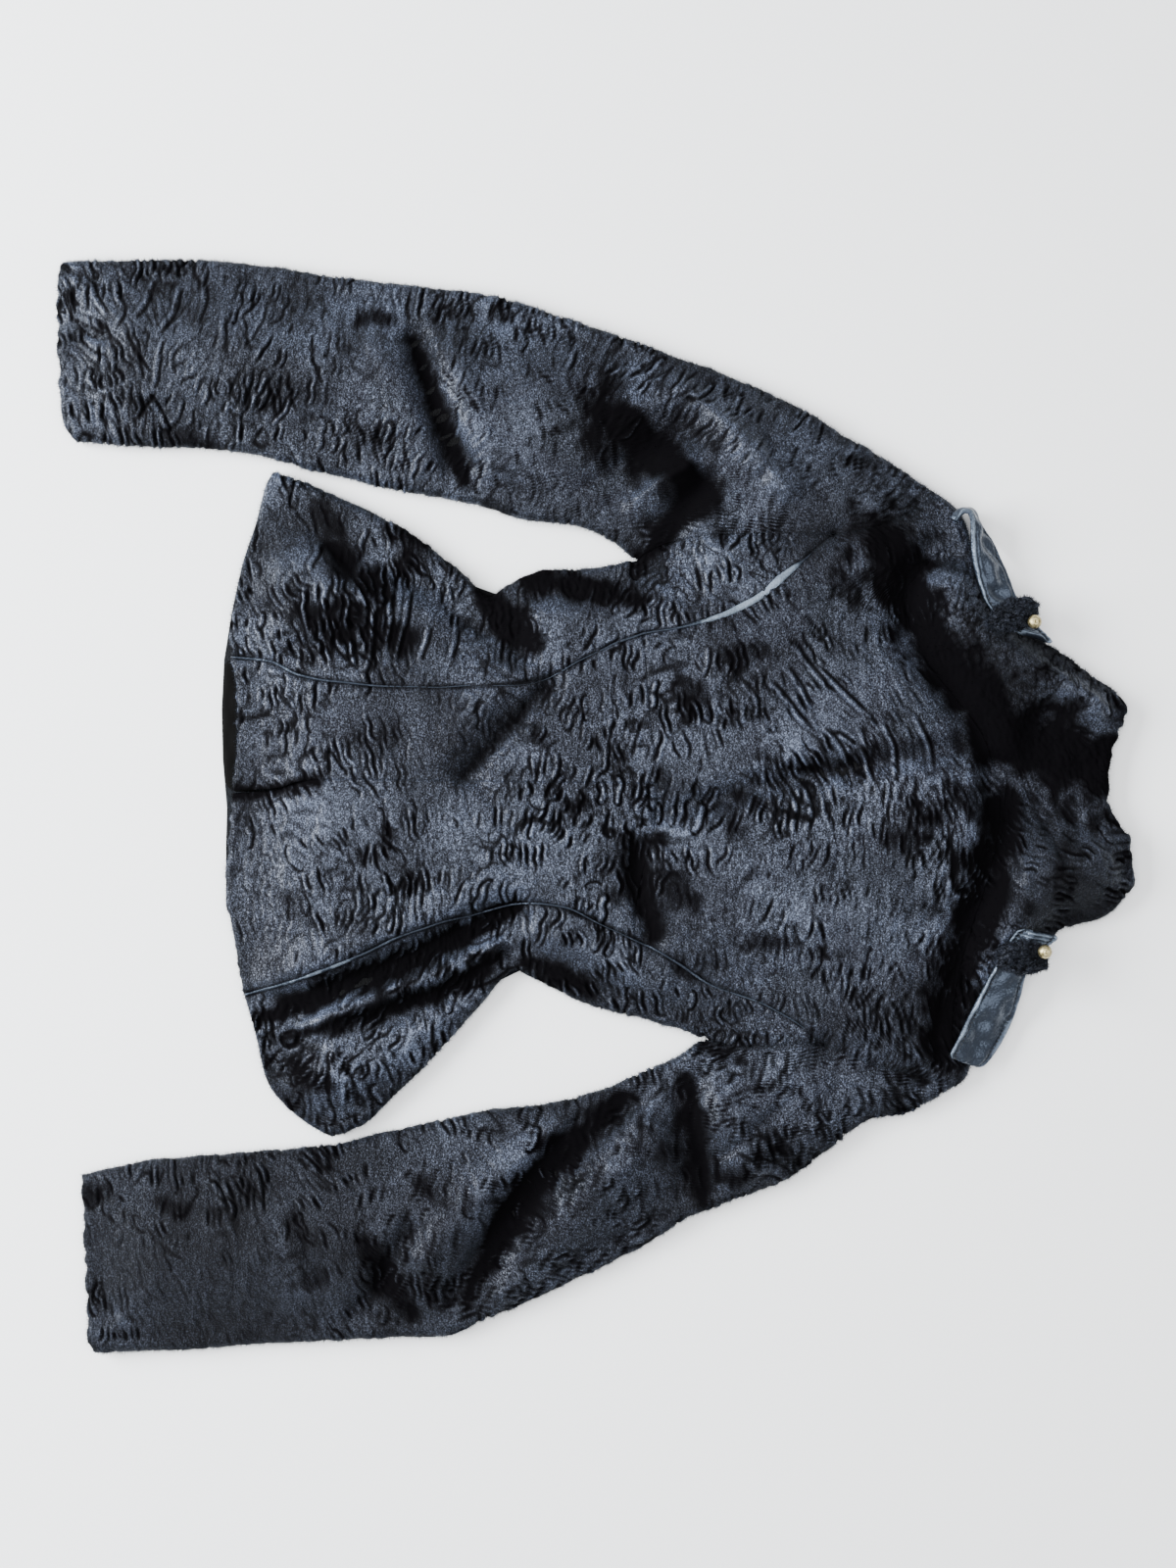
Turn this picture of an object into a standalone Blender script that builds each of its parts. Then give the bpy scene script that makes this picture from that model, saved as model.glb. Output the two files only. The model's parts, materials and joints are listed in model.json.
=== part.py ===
"""A short fur jacket with a funnel collar, laid flat with its back up.

Metres, +Z up, the jacket lying on z = 0. Plan tables are in millimetres: X runs from the wearer's
left (-) to the wearer's right (+), Y from the hem (-) to the collar (+). The upper cloth (the back)
is a height over the plan: a flat lay, a puff of air away from the edges, and folds. The lower cloth
(the fronts) lies flat. Panels are patches between seam curves, and each is a closed wall of fur.
"""
import math

import bpy
import bmesh
import numpy as np
from mathutils import Vector
from mathutils.bvhtree import BVHTree

MM = 0.001

# Driving sizes, in millimetres
FUR_WALL = 5.5              # hide, pile and lining
COLLAR_WALL = 6.5           # the collar's longer pile
SEAM_GAP = 0.3
SLEEVE_HEAD_GAP = 0.22      # the sleeve's own share of the gap at its armhole
SIDE_SEAM_LEVEL = 6.5       # where back and front meet on a folded side
EDGE_RADIUS = 6.35          # roundness of a folded side
EDGE_BAND = 4.0             # width of the strip that turns round a folded side
PUFF_HEIGHT = 14.0          # air between the layers, away from every edge
PUFF_REACH = 45.0
LAY_SOFTNESS = 1.5          # how softly a fold's trough meets the flat lay
FOLD_EDGE_FADE = 11.0       # folds die out this close to an edge
SLOPE_STEP = 0.8            # distance over which the cloth's slope is measured
TIP_DRAW_IN = 0.06          # how far a pointed panel stops short, as a share of its last row
KEEPER_TAPER = 0.45         # how much narrower a keeper's sewn ends are
VENT_TOP = -212.0           # where the centre back vent ends, in Y
VENT_HALF_GAP = 1.6         # half the vent's opening at the hem

PIPING_RADIUS = 1.5
PIPING_CLEARANCE = 0.6
STRAP_THICKNESS = 2.4
KEEPER_THICKNESS = 7.5
KEEPER_RIM = 1.2
FACING_THICKNESS = 1.6
STUD_RADIUS = 5.2
STUD_NECK_RADIUS = 2.4
STUD_NECK_HEIGHT = 1.8
STUD_STEPS = 12

# Segments along each kind of seam; pieces that share a seam share its points
SIDE_SEGMENTS = {"left": 20, "right": 23}
ARMHOLE_LOWER_SEGMENTS = {"left": 9, "right": 6}
ARMHOLE_UPPER_SEGMENTS = 5
PRINCESS_LOWER_SEGMENTS = 19
PRINCESS_UPPER_SEGMENTS = 11
WAIST_SEGMENTS = 14
NECKLINE_SEGMENTS = 11
SIDE_PANEL_COLUMNS = 8
SLEEVE_ROWS = 34
COLLAR_ROWS = 9
OUTLINE_SEGMENTS = 24       # for each seam of the outline, when distances to it are measured
FOLD_SEGMENTS = 10
TROUGH_SEGMENTS = 14
CURVE_STEPS = 10            # between two marked points of a seam

# Seams and edges in plan, as marked points in millimetres, X then Y
SEAMS = {
    "cuff_left": [(-418, -409), (-394, -412), (-334, -411), (-296, -408), (-280, -398)],
    "sleeve_inner_left": [(-280, -398), (-277, -345), (-272, -270), (-258, -214), (-244, -157),
                          (-238, -120), (-229, -82), (-220, -52), (-216, -15), (-205, 10),
                          (-190, 28)],
    "sleeve_outer_left": [(-418, -409), (-418, -285), (-405, -195), (-392, -82), (-369, -7),
                          (-343, 67), (-313, 142), (-290, 180), (-268, 218), (-240, 259)],
    "side_left": [(-257, -248), (-247, -218), (-218, -157), (-199, -127), (-178, -101),
                  (-161, -84), (-171, -69), (-182, -45), (-183, -8), (-190, 28)],
    "armhole_lower_left": [(-190, 28), (-201, 48), (-207, 75), (-209, 110), (-209, 145),
                           (-209, 180)],
    "armhole_upper_left": [(-209, 180), (-213, 205), (-223, 232), (-240, 259)],
    "shoulder_left": [(-240, 259), (-227, 273), (-210, 277)],
    "princess_lower_left": [(-116, -280), (-112, -250), (-101, -225), (-94, -180), (-92, -120),
                            (-95, -60), (-104, -28), (-121, 3), (-133, 34)],
    "princess_upper_left": [(-133, 34), (-137, 60), (-145, 90), (-158, 118), (-176, 141),
                            (-195, 163), (-209, 180)],
    "cuff_right": [(280, -394), (326, -392), (379, -389), (408, -388), (416, -382)],
    "sleeve_inner_right": [(280, -394), (270, -345), (266, -307), (260, -232), (256, -195),
                           (246, -157), (231, -82), (226, -45), (219, -7), (205, 28), (190, 60),
                           (176, 81)],
    "sleeve_outer_right": [(416, -382), (413, -307), (408, -232), (404, -160), (403, -116),
                           (389, -82), (373, -45), (337, 30), (313, 67), (284, 142), (257, 180),
                           (238, 206), (232, 236), (212, 274)],
    "side_right": [(251, -203), (240, -176), (221, -157), (184, -120), (150, -90), (125, -67),
                   (130, -48), (149, -8), (160, 30), (168, 62), (176, 81)],
    "armhole_lower_right": [(176, 81), (181, 100), (181, 125), (179, 150), (180, 172)],
    "armhole_upper_right": [(180, 172), (188, 192), (197, 215), (203, 243), (212, 274)],
    "shoulder_right": [(212, 274), (206, 281), (199, 284)],
    "princess_lower_right": [(142, -270), (131, -232), (118, -195), (100, -157), (87, -120),
                             (77, -82), (72, -52), (76, -25), (86, 0), (99, 28)],
    "princess_upper_right": [(99, 28), (112, 52), (131, 82), (140, 105), (148, 126), (163, 152),
                             (180, 172)],
    "waist_left": [(-133, 34), (-120, 36), (-80, 39), (-48, 42), (-19, 46)],
    "waist_right": [(-19, 46), (19, 42), (50, 34), (75, 29), (99, 28)],
    "centre_back": [(-13, -278), (-15, -245), (-22, -212), (-21, -100), (-19, 46)],
    "hem_side_left": [(-257, -248), (-244, -254), (-217, -261), (-191, -270), (-161, -277),
                      (-139, -281), (-116, -280)],
    "hem_back_left": [(-116, -280), (-100, -276), (-64, -275), (-13, -278)],
    "hem_back_right": [(-13, -278), (19, -281), (64, -283), (101, -277), (142, -270)],
    "hem_side_right": [(142, -270), (169, -262), (206, -253), (225, -240), (240, -222),
                       (251, -203)],
    "hem_front_left": [(-257, -248), (-244, -254), (-217, -261), (-191, -270), (-161, -278),
                       (-116, -286), (-56, -288), (0, -284)],
    "hem_front_right": [(0, -284), (41, -285), (64, -285), (101, -278), (142, -271), (169, -262),
                        (206, -253), (225, -240), (240, -222), (251, -203)],
    "neckline_left": [(-210, 277), (-193, 259), (-169, 237), (-139, 235), (-109, 252), (-82, 274),
                      (-52, 295), (-12, 307)],
    "neckline_right": [(-12, 307), (11, 306), (41, 300), (71, 291), (101, 281), (139, 273),
                       (176, 271), (199, 284)],
    "collar_side_left": [(-210, 277), (-192, 282), (-174, 290), (-158, 301), (-145, 315),
                         (-134, 331), (-117, 357), (-103, 375), (-94, 390), (-84, 401)],
    "collar_top_left": [(-84, 401), (-75, 403), (-60, 398), (-45, 393), (-30, 390), (-12, 389)],
    "collar_top_right": [(-12, 389), (0, 390), (11, 397), (22, 405), (41, 407), (60, 410)],
    "collar_side_right": [(199, 284), (185, 288), (168, 294), (146, 304), (128, 316), (117, 331),
                          (105, 343), (94, 352), (88, 370), (82, 388), (60, 410)],
    "centre_front": [(0, -284), (-4, 0), (-12, 307)],
    "collar_front": [(-12, 307), (-12, 389)],
}

# The outline, walked with the jacket on the left: seam, walked backwards, folded shut
OUTLINE = (
    ("cuff_left", False, False),
    ("sleeve_inner_left", False, True),
    ("side_left", True, True),
    ("hem_side_left", False, False),
    ("hem_back_left", False, False),
    ("hem_back_right", False, False),
    ("hem_side_right", False, False),
    ("side_right", False, True),
    ("sleeve_inner_right", True, True),
    ("cuff_right", False, False),
    ("sleeve_outer_right", False, True),
    ("shoulder_right", False, True),
    ("collar_side_right", False, True),
    ("collar_top_right", True, False),
    ("collar_top_left", True, False),
    ("collar_side_left", True, True),
    ("shoulder_left", True, True),
    ("sleeve_outer_left", True, True),
)

# Folds of the upper cloth: name, start, middle, end, half width, height (- is a trough)
FOLDS = (
    ("left elbow crease", (-356, -139), (-318, -128), (-254, -103), 11, -11),
    ("left elbow, cuff side", (-352, -165), (-310, -153), (-262, -131), 14, 4),
    ("left elbow, arm side", (-345, -110), (-300, -98), (-262, -78), 15, 5),
    ("left upper arm hollow", (-240, 8), (-268, 36), (-292, 66), 20, -12),
    ("left arm ridge", (-318, 62), (-282, 106), (-243, 140), 15, 8),
    ("left armpit crease", (-199, 36), (-222, 58), (-246, 80), 12, -11),
    ("left armpit ridge", (-230, 24), (-246, 46), (-262, 66), 11, 5),
    ("left forearm fullness", (-350, -330), (-350, -270), (-340, -210), 42, 4),
    ("left shoulder cap", (-300, 120), (-272, 170), (-250, 215), 32, 6),
    ("left peplum trough", (-146, -88), (-178, -150), (-221, -228), 14, -7),
    ("left peplum flute", (-160, -128), (-158, -180), (-178, -240), 19, 6),
    ("left peplum hollow", (-124, -150), (-130, -190), (-120, -228), 14, -5),
    ("left waist hollow", (-150, -82), (-139, -70), (-122, -62), 14, -8),
    ("left side trough", (-166, -45), (-170, -15), (-174, 15), 11, -6),
    ("left side ridge", (-148, -42), (-150, 0), (-164, 42), 17, 5),
    ("centre back crease", (4, 49), (-19, 135), (-46, 270), 11, -6),
    ("left lower back drag", (-26, -101), (-62, -72), (-94, -37), 11, -6),
    ("left lower back roll", (-40, -125), (-78, -92), (-100, -70), 14, 4),
    ("right waist hollow", (32, 30), (66, 32), (96, 42), 11, -8),
    ("left shoulder blade", (-112, 100), (-100, 150), (-105, 195), 42, 6),
    ("right shoulder blade", (72, 100), (82, 155), (70, 210), 42, 6),
    ("nape", (-30, 232), (0, 250), (20, 270), 30, 6),
    ("right deep pleat", (161, -257), (125, -170), (82, -66), 13, -15),
    ("right pleat, centre lip", (128, -248), (95, -165), (58, -80), 17, 6),
    ("right pleat, side ridge", (166, -215), (136, -150), (104, -82), 12, 8),
    ("right second crease", (182, -238), (158, -165), (128, -84), 11, -7),
    ("right peplum roll", (214, -222), (192, -165), (152, -105), 20, 7),
    ("right side trough", (113, -60), (130, -30), (150, 5), 11, -6),
    ("right side ridge", (98, -30), (116, 5), (138, 42), 15, 4),
    ("right deep sleeve fold", (219, 20), (288, -50), (366, -100), 13, -15),
    ("right fold, cuff lip", (236, -30), (290, -92), (338, -128), 15, 7),
    ("right fold, arm lip", (242, 32), (316, -18), (374, -66), 17, 8),
    ("right forearm crease", (322, -142), (350, -160), (384, -180), 11, -7),
    ("right arm crease", (212, 66), (255, 70), (300, 74), 13, -8),
    ("right arm ridge", (222, 98), (258, 110), (292, 110), 17, 5),
    ("right forearm fullness", (345, -330), (345, -270), (338, -200), 40, 4),
    ("right shoulder cap", (270, 130), (252, 175), (228, 215), 28, 6),
    ("left collar roll", (-169, 268), (-131, 296), (-86, 378), 20, 15),
    ("right collar roll", (112, 296), (62, 336), (44, 380), 26, 15),
    ("collar hollow", (-62, 340), (-35, 332), (0, 338), 24, -12),
)

# Troughs that run along a seam: seam, half width, depth
SEAM_TROUGHS = (
    ("neckline_left", 15, -10),
    ("neckline_right", 15, -12),
    ("armhole_lower_left", 10, -3),
    ("armhole_upper_left", 10, -3),
    ("armhole_lower_right", 10, -3),
    ("armhole_upper_right", 10, -3),
)

# Straps, from the shoulder to the tab past the keeper: inner edge X, Y, Z, outer edge X, Y, Z
STRAPS = {
    "left": (
        (-219, 270, 27, -218, 271, 15.5),
        (-225, 275, 29, -226, 277, 14),
        (-226, 279, 30, -229, 282, 8),
        (-221, 283, 30, -222, 291, 4),
        (-210, 284, 28, -208, 300, 5),
        (-196, 284, 25, -191, 308, 8),
        (-180, 287, 22, -174, 315, 11),
        (-160, 293, 21, -158, 320, 14),
        (-145, 303, 21, -143, 331, 15),
        (-135, 315, 23, -125, 348, 18),
    ),
    "right": (
        (189, 266, 16, 199, 293, 4),
        (180, 271, 18, 192, 300, 5),
        (164, 279, 19, 179, 309, 7),
        (148, 287, 20, 162, 317, 10),
        (131, 295, 20, 142, 322, 12),
        (116, 302, 21, 122, 326, 14),
        (104, 308, 21, 109, 335, 16),
        (90, 317, 23, 97, 350, 18),
    ),
}
STRAP_STATIONS = 15
STRAP_LOOK = 3.0            # how far round each point the strap keeps clear of the fur
STRAP_COLUMNS = 4

# Keepers: middle X, Y, half length X, Y across the strap, half width along it
KEEPERS = {
    "left": ((-147, 315), (-7, 18), 11),
    "right": ((112, 320), (1, 19), 12),
}
KEEPER_GRID = 8
KEEPER_DROP = 6.0           # how far a keeper's ends come down past the strap
KEEPER_LOOK = 3.0           # how far round each point the keeper keeps clear of the strap
STUD_PLACES = {"left": (-141, 329), "right": (107, 335)}

# Strip of hem facing below the back hem: X from and to, Y from and to
FACING = ((-112, -18), (-287, -262))
FACING_COLUMNS = 6

MATERIALS = {
    "fur": ((0.011, 0.012, 0.016), 0.85, 0.0),
    "leather": ((0.014, 0.015, 0.018), 0.38, 0.0),
    "lining": ((0.012, 0.010, 0.010), 0.55, 0.0),
    "brass": ((0.46, 0.34, 0.15), 0.34, 1.0),
}


# ---------------------------------------------------------------- plan curves

def smooth_curve(marks, segments):
    """Even steps along the smooth curve through a seam's marked points."""
    marks = np.array(marks, float)
    knots = np.vstack([2 * marks[0] - marks[1], marks, 2 * marks[-1] - marks[-2]])
    fine = []
    for a, b, c, d in zip(knots, knots[1:], knots[2:], knots[3:]):
        for t in np.linspace(0, 1, CURVE_STEPS, endpoint=False):
            bend = 2 * a - 5 * b + 4 * c - d
            twist = 3 * b - a - 3 * c + d
            fine.append(0.5 * (2 * b + (c - a) * t + bend * t ** 2 + twist * t ** 3))
    fine = np.array(fine + [marks[-1]])
    lengths = np.linalg.norm(np.diff(fine, axis=0), axis=1)
    run = np.concatenate([[0], np.cumsum(lengths)])
    steps = np.linspace(0, run[-1], segments + 1)
    return np.column_stack([np.interp(steps, run, fine[:, k]) for k in range(fine.shape[1])])


def seam(name, segments):
    return smooth_curve(SEAMS[name], segments)


def stepped(curve, at_start=False, at_end=False):
    """A curve with one more point, a strip's width from its start or its end."""
    if at_start:
        way = curve[1] - curve[0]
        near = curve[0] + way * EDGE_BAND / np.linalg.norm(way)
        curve = np.vstack([curve[:1], near, curve[1:]])
    if at_end:
        curve = stepped(curve[::-1], at_start=True)[::-1]
    return curve


def join(*curves):
    """Curves end to end, each shared point kept once."""
    return np.vstack([curves[0]] + [curve[1:] for curve in curves[1:]])


def left_normals(curve):
    """Unit vectors in plan to the left of a curve's direction."""
    along = np.gradient(curve, axis=0)
    across = np.column_stack([-along[:, 1], along[:, 0]])
    return across / np.linalg.norm(across, axis=1)[:, None]


def patch(bottom, right, top, left):
    """A grid between four edges; bottom and top run the same way, as do left and right."""
    u = np.linspace(0, 1, len(bottom))[None, :, None]
    v = np.linspace(0, 1, len(left))[:, None, None]
    up = (1 - v) * bottom[None] + v * top[None]
    across = (1 - u) * left[:, None] + u * right[:, None]
    low = (1 - u) * bottom[0] + u * bottom[-1]
    high = (1 - u) * top[0] + u * top[-1]
    return up + across - (1 - v) * low - v * high


def banded_patch(bottom, right, top, left, band_left=False, band_right=False):
    """A patch with a narrow strip along a folded side; bottom and top are stepped there."""
    inner_left, inner_right = left, right
    if band_left:
        inner_left = left - left_normals(left) * EDGE_BAND
        bottom, top = bottom[1:], top[1:]
        inner_left[0], inner_left[-1] = bottom[0], top[0]
    if band_right:
        inner_right = right + left_normals(right) * EDGE_BAND
        bottom, top = bottom[:-1], top[:-1]
        inner_right[0], inner_right[-1] = bottom[-1], top[-1]
    grid = patch(bottom, inner_right, top, inner_left)
    if band_left:
        grid = np.concatenate([left[:, None], grid], axis=1)
    if band_right:
        grid = np.concatenate([grid, right[:, None]], axis=1)
    return grid


def drawn_in(grid):
    """The grid with its four edges moved in by half a seam gap."""
    moved = grid.copy()
    gap = SEAM_GAP / 2
    moved[0] += left_normals(grid[0]) * gap
    moved[-1] -= left_normals(grid[-1]) * gap
    moved[:, 0] -= left_normals(grid[:, 0]) * gap
    moved[:, -1] += left_normals(grid[:, -1]) * gap
    return moved


# ---------------------------------------------------------------- the lie of the cloth

def outline_segments():
    """Ends, inward normals and folded flag of each short segment of the outline."""
    starts, ends, folded = [], [], []
    for name, backwards, shut in OUTLINE:
        curve = seam(name, OUTLINE_SEGMENTS)
        if backwards:
            curve = curve[::-1]
        starts.append(curve[:-1])
        ends.append(curve[1:])
        folded.append(np.full(len(curve) - 1, shut))
    return np.vstack(starts), np.vstack(ends), np.concatenate(folded)


def nearest(points, starts, ends):
    """Distance from each point to its nearest segment, and that segment's number."""
    along = ends - starts
    length2 = (along ** 2).sum(1)
    offset = points[:, None] - starts[None]
    t = np.clip((offset * along).sum(2) / length2, 0, 1)
    gap = np.linalg.norm(offset - t[:, :, None] * along, axis=2)
    pick = gap.argmin(1)
    return gap[np.arange(len(points)), pick], pick


STARTS, ENDS, FOLDED = outline_segments()
INWARD = np.column_stack([STARTS[:, 1] - ENDS[:, 1], ENDS[:, 0] - STARTS[:, 0]])
INWARD = INWARD / np.linalg.norm(INWARD, axis=1)[:, None]


def fold_paths():
    """Each fold as its path, half width and height."""
    paths = []
    for _, start, middle, end, width, height in FOLDS:
        paths.append((smooth_curve([start, middle, end], FOLD_SEGMENTS), width, height))
    for name, width, height in SEAM_TROUGHS:
        paths.append((seam(name, TROUGH_SEGMENTS), width, height))
    return paths


FOLD_PATHS = fold_paths()


def lift(points):
    """Height of the upper cloth over the flat lay, from air and folds."""
    reach, _ = nearest(points, STARTS, ENDS)
    total = PUFF_HEIGHT * (1 - np.exp(-(reach / PUFF_REACH) ** 2))
    fade = 1 - np.exp(-(reach / FOLD_EDGE_FADE) ** 2)
    for path, width, height in FOLD_PATHS:
        away, _ = nearest(points, path[:-1], path[1:])
        total = total + height * fade * np.exp(-(away / width) ** 2)
    return 0.5 * (total + np.sqrt(total ** 2 + LAY_SOFTNESS ** 2))


def turn(points):
    """How far a folded side has turned up at each point, and the slope of that turn."""
    inset, pick = nearest(points, STARTS[FOLDED], ENDS[FOLDED])
    short = np.clip(EDGE_RADIUS - inset, 0, EDGE_RADIUS * 0.9999)
    rise = np.sqrt(EDGE_RADIUS ** 2 - short ** 2)
    return rise, (short / rise)[:, None] * INWARD[FOLDED][pick]


def upper_face(grid):
    """Points and normals of the upper cloth's outer face over a plan grid."""
    plan = grid.reshape(-1, 2)
    rise, slope = turn(plan)
    for axis in (0, 1):
        shift = np.zeros(2)
        shift[axis] = SLOPE_STEP
        slope[:, axis] += (lift(plan + shift) - lift(plan - shift)) / (2 * SLOPE_STEP)
    height = SIDE_SEAM_LEVEL + SEAM_GAP / 2 + rise + lift(plan)
    return stacked(grid, plan, height, np.column_stack([-slope, np.ones(len(plan))]))


def lower_face(grid):
    """Points and normals of the lower cloth's outer face, flat but for its turned edge."""
    plan = grid.reshape(-1, 2)
    rise, slope = turn(plan)
    height = np.maximum(SIDE_SEAM_LEVEL - SEAM_GAP / 2 - rise, 0)
    return stacked(grid, plan, height, np.column_stack([-slope, -np.ones(len(plan))]))


def stacked(grid, plan, height, normals):
    points = np.column_stack([plan, height]).reshape(*grid.shape[:2], 3)
    normals = normals / np.linalg.norm(normals, axis=1)[:, None]
    return points, normals.reshape(points.shape)


def parted(faces, draw_in):
    """A face moved in from its seams; its normals stay those of the seam itself."""
    points, normals = faces
    points[..., :2] = draw_in(points[..., :2].copy())
    return points, normals


# ---------------------------------------------------------------- solids

def material(name):
    found = bpy.data.materials.get(name)
    if found:
        return found
    colour, roughness, metallic = MATERIALS[name]
    made = bpy.data.materials.new(name)
    made.use_nodes = True
    shader = made.node_tree.nodes["Principled BSDF"]
    shader.inputs["Base Color"].default_value = (*colour, 1)
    shader.inputs["Roughness"].default_value = roughness
    shader.inputs["Metallic"].default_value = metallic
    return made


def add_object(name, mesh_builder, finish):
    """A named object from a bmesh in millimetres."""
    bmesh.ops.remove_doubles(mesh_builder, verts=mesh_builder.verts, dist=0.01)
    bmesh.ops.scale(mesh_builder, vec=(MM, MM, MM), verts=mesh_builder.verts)
    mesh = bpy.data.meshes.new(name)
    mesh_builder.to_mesh(mesh)
    mesh_builder.free()
    mesh.shade_smooth()
    mesh.set_sharp_from_angle(angle=math.radians(50))
    mesh.materials.append(material(finish))
    made = bpy.data.objects.new(name, mesh)
    bpy.data.collections["fur_jacket"].objects.link(made)
    return made


def add_grid(mesh_builder, points, flipped, looped=False):
    """Quads over a grid of points; gives back the grid of vertices."""
    rows, columns = points.shape[:2]
    verts = [[mesh_builder.verts.new(point) for point in row] for row in points]
    steps = columns if looped else columns - 1
    for j in range(rows - 1):
        for i in range(steps):
            k = (i + 1) % columns
            corners = [verts[j][i], verts[j][k], verts[j + 1][k], verts[j + 1][i]]
            mesh_builder.faces.new(corners[::-1] if flipped else corners)
    return verts


def add_rim(mesh_builder, outer, inner):
    """Triangles between the edges of the outer and inner faces, split alike on both sides of a seam."""
    for a, b, c, d in zip(outer, outer[1:], inner[1:], inner):
        if a.co.x + 2 * a.co.y > b.co.x + 2 * b.co.y:
            halves = [(b, a, c), (a, d, c)]
        else:
            halves = [(b, a, d), (b, d, c)]
        for half in halves:
            mesh_builder.faces.new(half)


def wall(name, faces, thickness, finish, face_down=False):
    """A closed wall between an outer face and the same face moved in by the thickness."""
    outer, normals = faces
    build = bmesh.new()
    skin = add_grid(build, outer, face_down)
    lining = add_grid(build, outer - normals * thickness, not face_down)
    edge = skin[0] + [row[-1] for row in skin[1:]] + skin[-1][-2::-1]
    edge += [row[0] for row in skin[-2::-1]]
    under = lining[0] + [row[-1] for row in lining[1:]] + lining[-1][-2::-1]
    under += [row[0] for row in lining[-2::-1]]
    if face_down:
        edge, under = edge[::-1], under[::-1]
    add_rim(build, edge, under)
    return add_object(name, build, finish)


def tube_wall(name, rings, normals, thickness, finish):
    """A closed wall round an open tube, such as a sleeve."""
    build = bmesh.new()
    skin = add_grid(build, rings, False, looped=True)
    lining = add_grid(build, rings - normals * thickness, True, looped=True)
    add_rim(build, skin[0] + skin[0][:1], lining[0] + lining[0][:1])
    add_rim(build, (skin[-1] + skin[-1][:1])[::-1], (lining[-1] + lining[-1][:1])[::-1])
    return add_object(name, build, finish)


# ---------------------------------------------------------------- body

def armhole(side):
    lower = seam("armhole_lower_" + side, ARMHOLE_LOWER_SEGMENTS[side])
    upper = seam("armhole_upper_" + side, ARMHOLE_UPPER_SEGMENTS)
    return stepped(lower, at_start=True), stepped(upper, at_end=True)


def neckline(side):
    curve = seam("neckline_" + side, NECKLINE_SEGMENTS)
    return stepped(curve, at_start=side == "left", at_end=side == "right")


def shoulder(side):
    return stepped(seam("shoulder_" + side, 1), at_start=True)


def princess(side):
    lower = seam("princess_lower_" + side, PRINCESS_LOWER_SEGMENTS)
    upper = seam("princess_upper_" + side, PRINCESS_UPPER_SEGMENTS)
    return lower, upper


def body_side(side):
    return seam("side_" + side, SIDE_SEGMENTS[side])


def make_back():
    """The centre back above the waist, and its two flared halves below."""
    sides = {}
    for side in ("left", "right"):
        sides[side] = join(princess(side)[1], armhole(side)[1])
    waist = join(seam("waist_left", WAIST_SEGMENTS), seam("waist_right", WAIST_SEGMENTS))
    top = join(shoulder("left"), neckline("left"), neckline("right"), shoulder("right")[::-1])
    grid = patch(waist, sides["right"], top, sides["left"])
    wall("back_centre_upper", parted(upper_face(grid), drawn_in), FUR_WALL, "fur")
    flare = {
        "left": ("hem_back_left", "waist_left", princess("left")[0], None),
        "right": ("hem_back_right", "waist_right", None, princess("right")[0]),
    }
    for side, (hem, top_seam, left, right) in flare.items():
        left = vent_edge(VENT_HALF_GAP) if left is None else left
        right = vent_edge(-VENT_HALF_GAP) if right is None else right
        bottom = seam(hem, WAIST_SEGMENTS)
        bottom[0] = left[0]
        bottom[-1] = right[0]
        grid = patch(bottom, right, seam(top_seam, WAIST_SEGMENTS), left)
        wall("back_centre_lower_" + side, parted(upper_face(grid), drawn_in), FUR_WALL, "fur")


def vent_edge(half_gap):
    """One edge of the centre back seam, which opens as a vent at the hem."""
    edge = seam("centre_back", PRINCESS_LOWER_SEGMENTS)
    opening = np.clip((VENT_TOP - edge[:, 1]) / (VENT_TOP - edge[0, 1]), 0, 1)
    edge[:, 0] += half_gap * opening
    return edge


def make_side_backs():
    """The side backs run up to a point where the princess seam meets the armhole."""
    for side in ("left", "right"):
        outer = join(body_side(side), armhole(side)[0])
        inner = join(*princess(side))
        tip = np.repeat(inner[-1:], SIDE_PANEL_COLUMNS + 2, axis=0)
        hem = seam("hem_side_" + side, SIDE_PANEL_COLUMNS)
        if side == "left":
            hem = stepped(hem, at_start=True)
            grid = banded_patch(hem, inner, tip, outer, band_left=True)
        else:
            hem = stepped(hem, at_end=True)
            grid = banded_patch(hem, outer, tip, inner, band_right=True)
        grid[-1] = inner[-1]
        wall("back_side_" + side, parted(upper_face(grid), drawn_in_to_tip), FUR_WALL, "fur")


def drawn_in_to_tip(grid):
    """A pointed patch drawn in along its edges and back from its point."""
    moved = grid.copy()
    gap = SEAM_GAP / 2
    moved[0] += left_normals(grid[0]) * gap
    moved[:, 0] -= left_normals(grid[:, 0]) * gap
    moved[:, -1] += left_normals(grid[:, -1]) * gap
    moved[-1] = grid[-1] + (grid[-2].mean(axis=0) - grid[-1]) * TIP_DRAW_IN
    return moved


def make_fronts():
    """The fronts lie flat under the back and meet at the centre front."""
    for side in ("left", "right"):
        outer = join(body_side(side), *armhole(side))
        middle = seam("centre_front", len(outer) - 1)
        hem = seam("hem_front_" + side, NECKLINE_SEGMENTS + 2)
        if side == "left":
            hem = stepped(hem, at_start=True)
            top = join(shoulder(side), neckline(side))
            grid = banded_patch(hem, middle, top, outer, band_left=True)
        else:
            hem = stepped(hem, at_end=True)
            top = join(neckline(side), shoulder(side)[::-1])
            grid = banded_patch(hem, outer, top, middle, band_right=True)
        faces = parted(lower_face(grid), drawn_in)
        wall("front_" + side, faces, FUR_WALL, "fur", face_down=True)


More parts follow.
